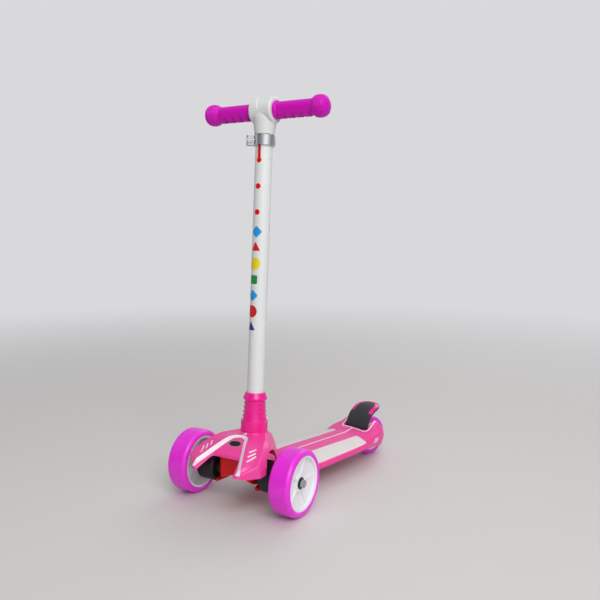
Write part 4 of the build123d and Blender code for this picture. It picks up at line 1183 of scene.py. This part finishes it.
@dataclass
class Studio:
    """Pale floor, soft light and the camera that stands where the photograph was taken."""

    camera_mm: Place = (944.6, -775.4, 525.7)
    camera_yaw: float = 46.4
    camera_pitch: float = 7.05
    lens_mm: float = 39.96
    sensor_mm: float = 36.0
    floor_m: float = 80.0
    fade_m: Point = (0.7, 3.0)
    floor_colour: str = "DAD7D4"
    floor_roughness: float = 0.7
    wall_colour: str = "D9D9DC"
    sky_colour: str = "F4F6FA"
    room_dim: float = 0.04
    glows: tuple[Glow, ...] = (
        Glow((0.9, -0.35, 0.3), 10.0, 1.55),
        Glow((-0.6, 0.7, 0.25), 3.0, 0.5),
    )
    # Mirrors and glass show the backdrop by this share and the room by the rest: with the backdrop
    # alone, chrome would turn an even grey
    mirror_share: float = 0.3
    lamps: tuple[Lamp, ...] = (
        Lamp("key", (1.9, -0.9, 2.1), 1.5, 36.0),
        Lamp("top", (0.3, 0.0, 2.6), 2.0, 12.0),
        Lamp("fill", (-1.8, -1.2, 1.4), 1.8, 3.0),
        Lamp("rim", (-0.6, 2.2, 1.9), 1.4, 12.0),
    )
    lamp_target: Place = (0.0, 0.1, 0.3)

    def build(self) -> None:
        """Make the camera, floor, world and lamps."""
        self.make_camera()
        self.make_floor()
        self.make_world()
        for lamp in self.lamps:
            lamp.hang(Vector(self.lamp_target))
        bpy.context.scene.view_settings.view_transform = "Standard"

    def make_camera(self) -> None:
        """Place the camera by the position and angles worked out from the photograph."""
        data = bpy.data.cameras.new("camera")
        data.sensor_width = self.sensor_mm
        data.lens = self.lens_mm
        data.clip_end = self.floor_m
        camera = bpy.data.objects.new("camera", data)
        camera.location = Vector(self.camera_mm) * MM
        tilt, turn = math.radians(90 - self.camera_pitch), math.radians(self.camera_yaw)
        camera.rotation_euler = (tilt, 0.0, turn)
        bpy.context.scene.collection.objects.link(camera)
        bpy.context.scene.camera = camera

    def make_floor(self) -> None:
        """Lay the floor under the wheels."""
        half = self.floor_m / 2
        mesh = bpy.data.meshes.new("floor")
        corners = [(-half, -half, 0.0), (half, -half, 0.0), (half, half, 0.0), (-half, half, 0.0)]
        mesh.from_pydata(corners, [], [(0, 1, 2, 3)])
        floor = bpy.data.objects.new("floor", mesh)
        bpy.context.scene.collection.objects.link(floor)
        mesh.materials.append(self.floor_paint())

    def backdrop_rays(self, tree: Tree) -> Socket:
        """Find the rays that show the backdrop: from the camera, in a mirror or through glass.

        Args:
            tree: the node tree of the floor or the world.

        Returns:
            A socket that gives the backdrop's share for each ray.
        """
        rays = add_node(tree, "ShaderNodeLightPath").outputs
        seen = rays["Is Camera Ray"]
        for kind in ("Is Glossy Ray", "Is Transmission Ray"):
            seen = add_node(
                tree,
                "ShaderNodeMath",
                {"operation": "MULTIPLY_ADD"},
                {0: rays[kind], 1: self.mirror_share, 2: seen},
            ).outputs["Value"]
        return seen

    def floor_paint(self) -> bpy.types.Material:
        """Paint the floor pale and matt, and let it fade into the wall far away.

        Returns:
            The floor's material.
        """
        material = Finish(
            "pale_studio_paint",
            self.floor_colour,
            self.floor_colour,
            self.floor_roughness,
            depth_mm=0.0,
        ).material()
        tree = material.node_tree
        paint = next(node for node in tree.nodes if node.type == "BSDF_PRINCIPLED")
        out = next(node for node in tree.nodes if node.type == "OUTPUT_MATERIAL")
        coords = add_node(tree, "ShaderNodeTexCoord").outputs["Object"]
        distance = add_node(tree, "ShaderNodeVectorMath", {"operation": "LENGTH"}, {0: coords})
        near, far = self.fade_m
        fade = add_node(
            tree,
            "ShaderNodeMapRange",
            {"interpolation_type": "SMOOTHSTEP"},
            {"Value": distance.outputs["Value"], "From Min": near, "From Max": far},
        )
        share = add_node(
            tree,
            "ShaderNodeMath",
            {"operation": "MULTIPLY"},
            {0: fade.outputs["Result"], 1: self.backdrop_rays(tree)},
        )
        wall = add_node(
            tree,
            "ShaderNodeEmission",
            inputs={"Color": linear(self.wall_colour), "Strength": 1.0},
        )
        mix = add_node(
            tree,
            "ShaderNodeMixShader",
            inputs={
                0: share.outputs["Value"],
                1: paint.outputs["BSDF"],
                2: wall.outputs["Emission"],
            },
        )
        tree.links.new(mix.outputs["Shader"], out.inputs["Surface"])
        return material

    def make_world(self) -> None:
        """Light the room from its window and pale wall, and show the wall as the backdrop."""
        world = bpy.data.worlds.new("studio")
        bpy.context.scene.world = world
        world.use_nodes = True
        tree = world.node_tree
        tree.nodes.clear()
        ray = add_node(tree, "ShaderNodeTexCoord").outputs["Generated"]
        strength: Socket | float = self.room_dim
        for glow in self.glows:
            strength = glow.added(tree, ray, strength)
        room = add_node(
            tree,
            "ShaderNodeBackground",
            inputs={"Color": linear(self.sky_colour), "Strength": strength},
        )
        wall = add_node(
            tree,
            "ShaderNodeBackground",
            inputs={"Color": linear(self.wall_colour), "Strength": 1.0},
        )
        mix = add_node(
            tree,
            "ShaderNodeMixShader",
            inputs={
                0: self.backdrop_rays(tree),
                1: room.outputs["Background"],
                2: wall.outputs["Background"],
            },
        )
        add_node(tree, "ShaderNodeOutputWorld", inputs={"Surface": mix.outputs["Shader"]})


def main() -> None:
    """Build and dress the scooter, then the studio."""
    logging.basicConfig(level=logging.INFO)
    parts = (
        Deck(),
        RearWheel(),
        FootBrake(),
        FrontTruck(),
        FrontWheel(Side.LEFT),
        FrontWheel(Side.RIGHT),
        Pole(),
        Handlebar(),
        Studio(),
    )
    for part in parts:
        part.build()


if __name__ == "__main__":
    main()
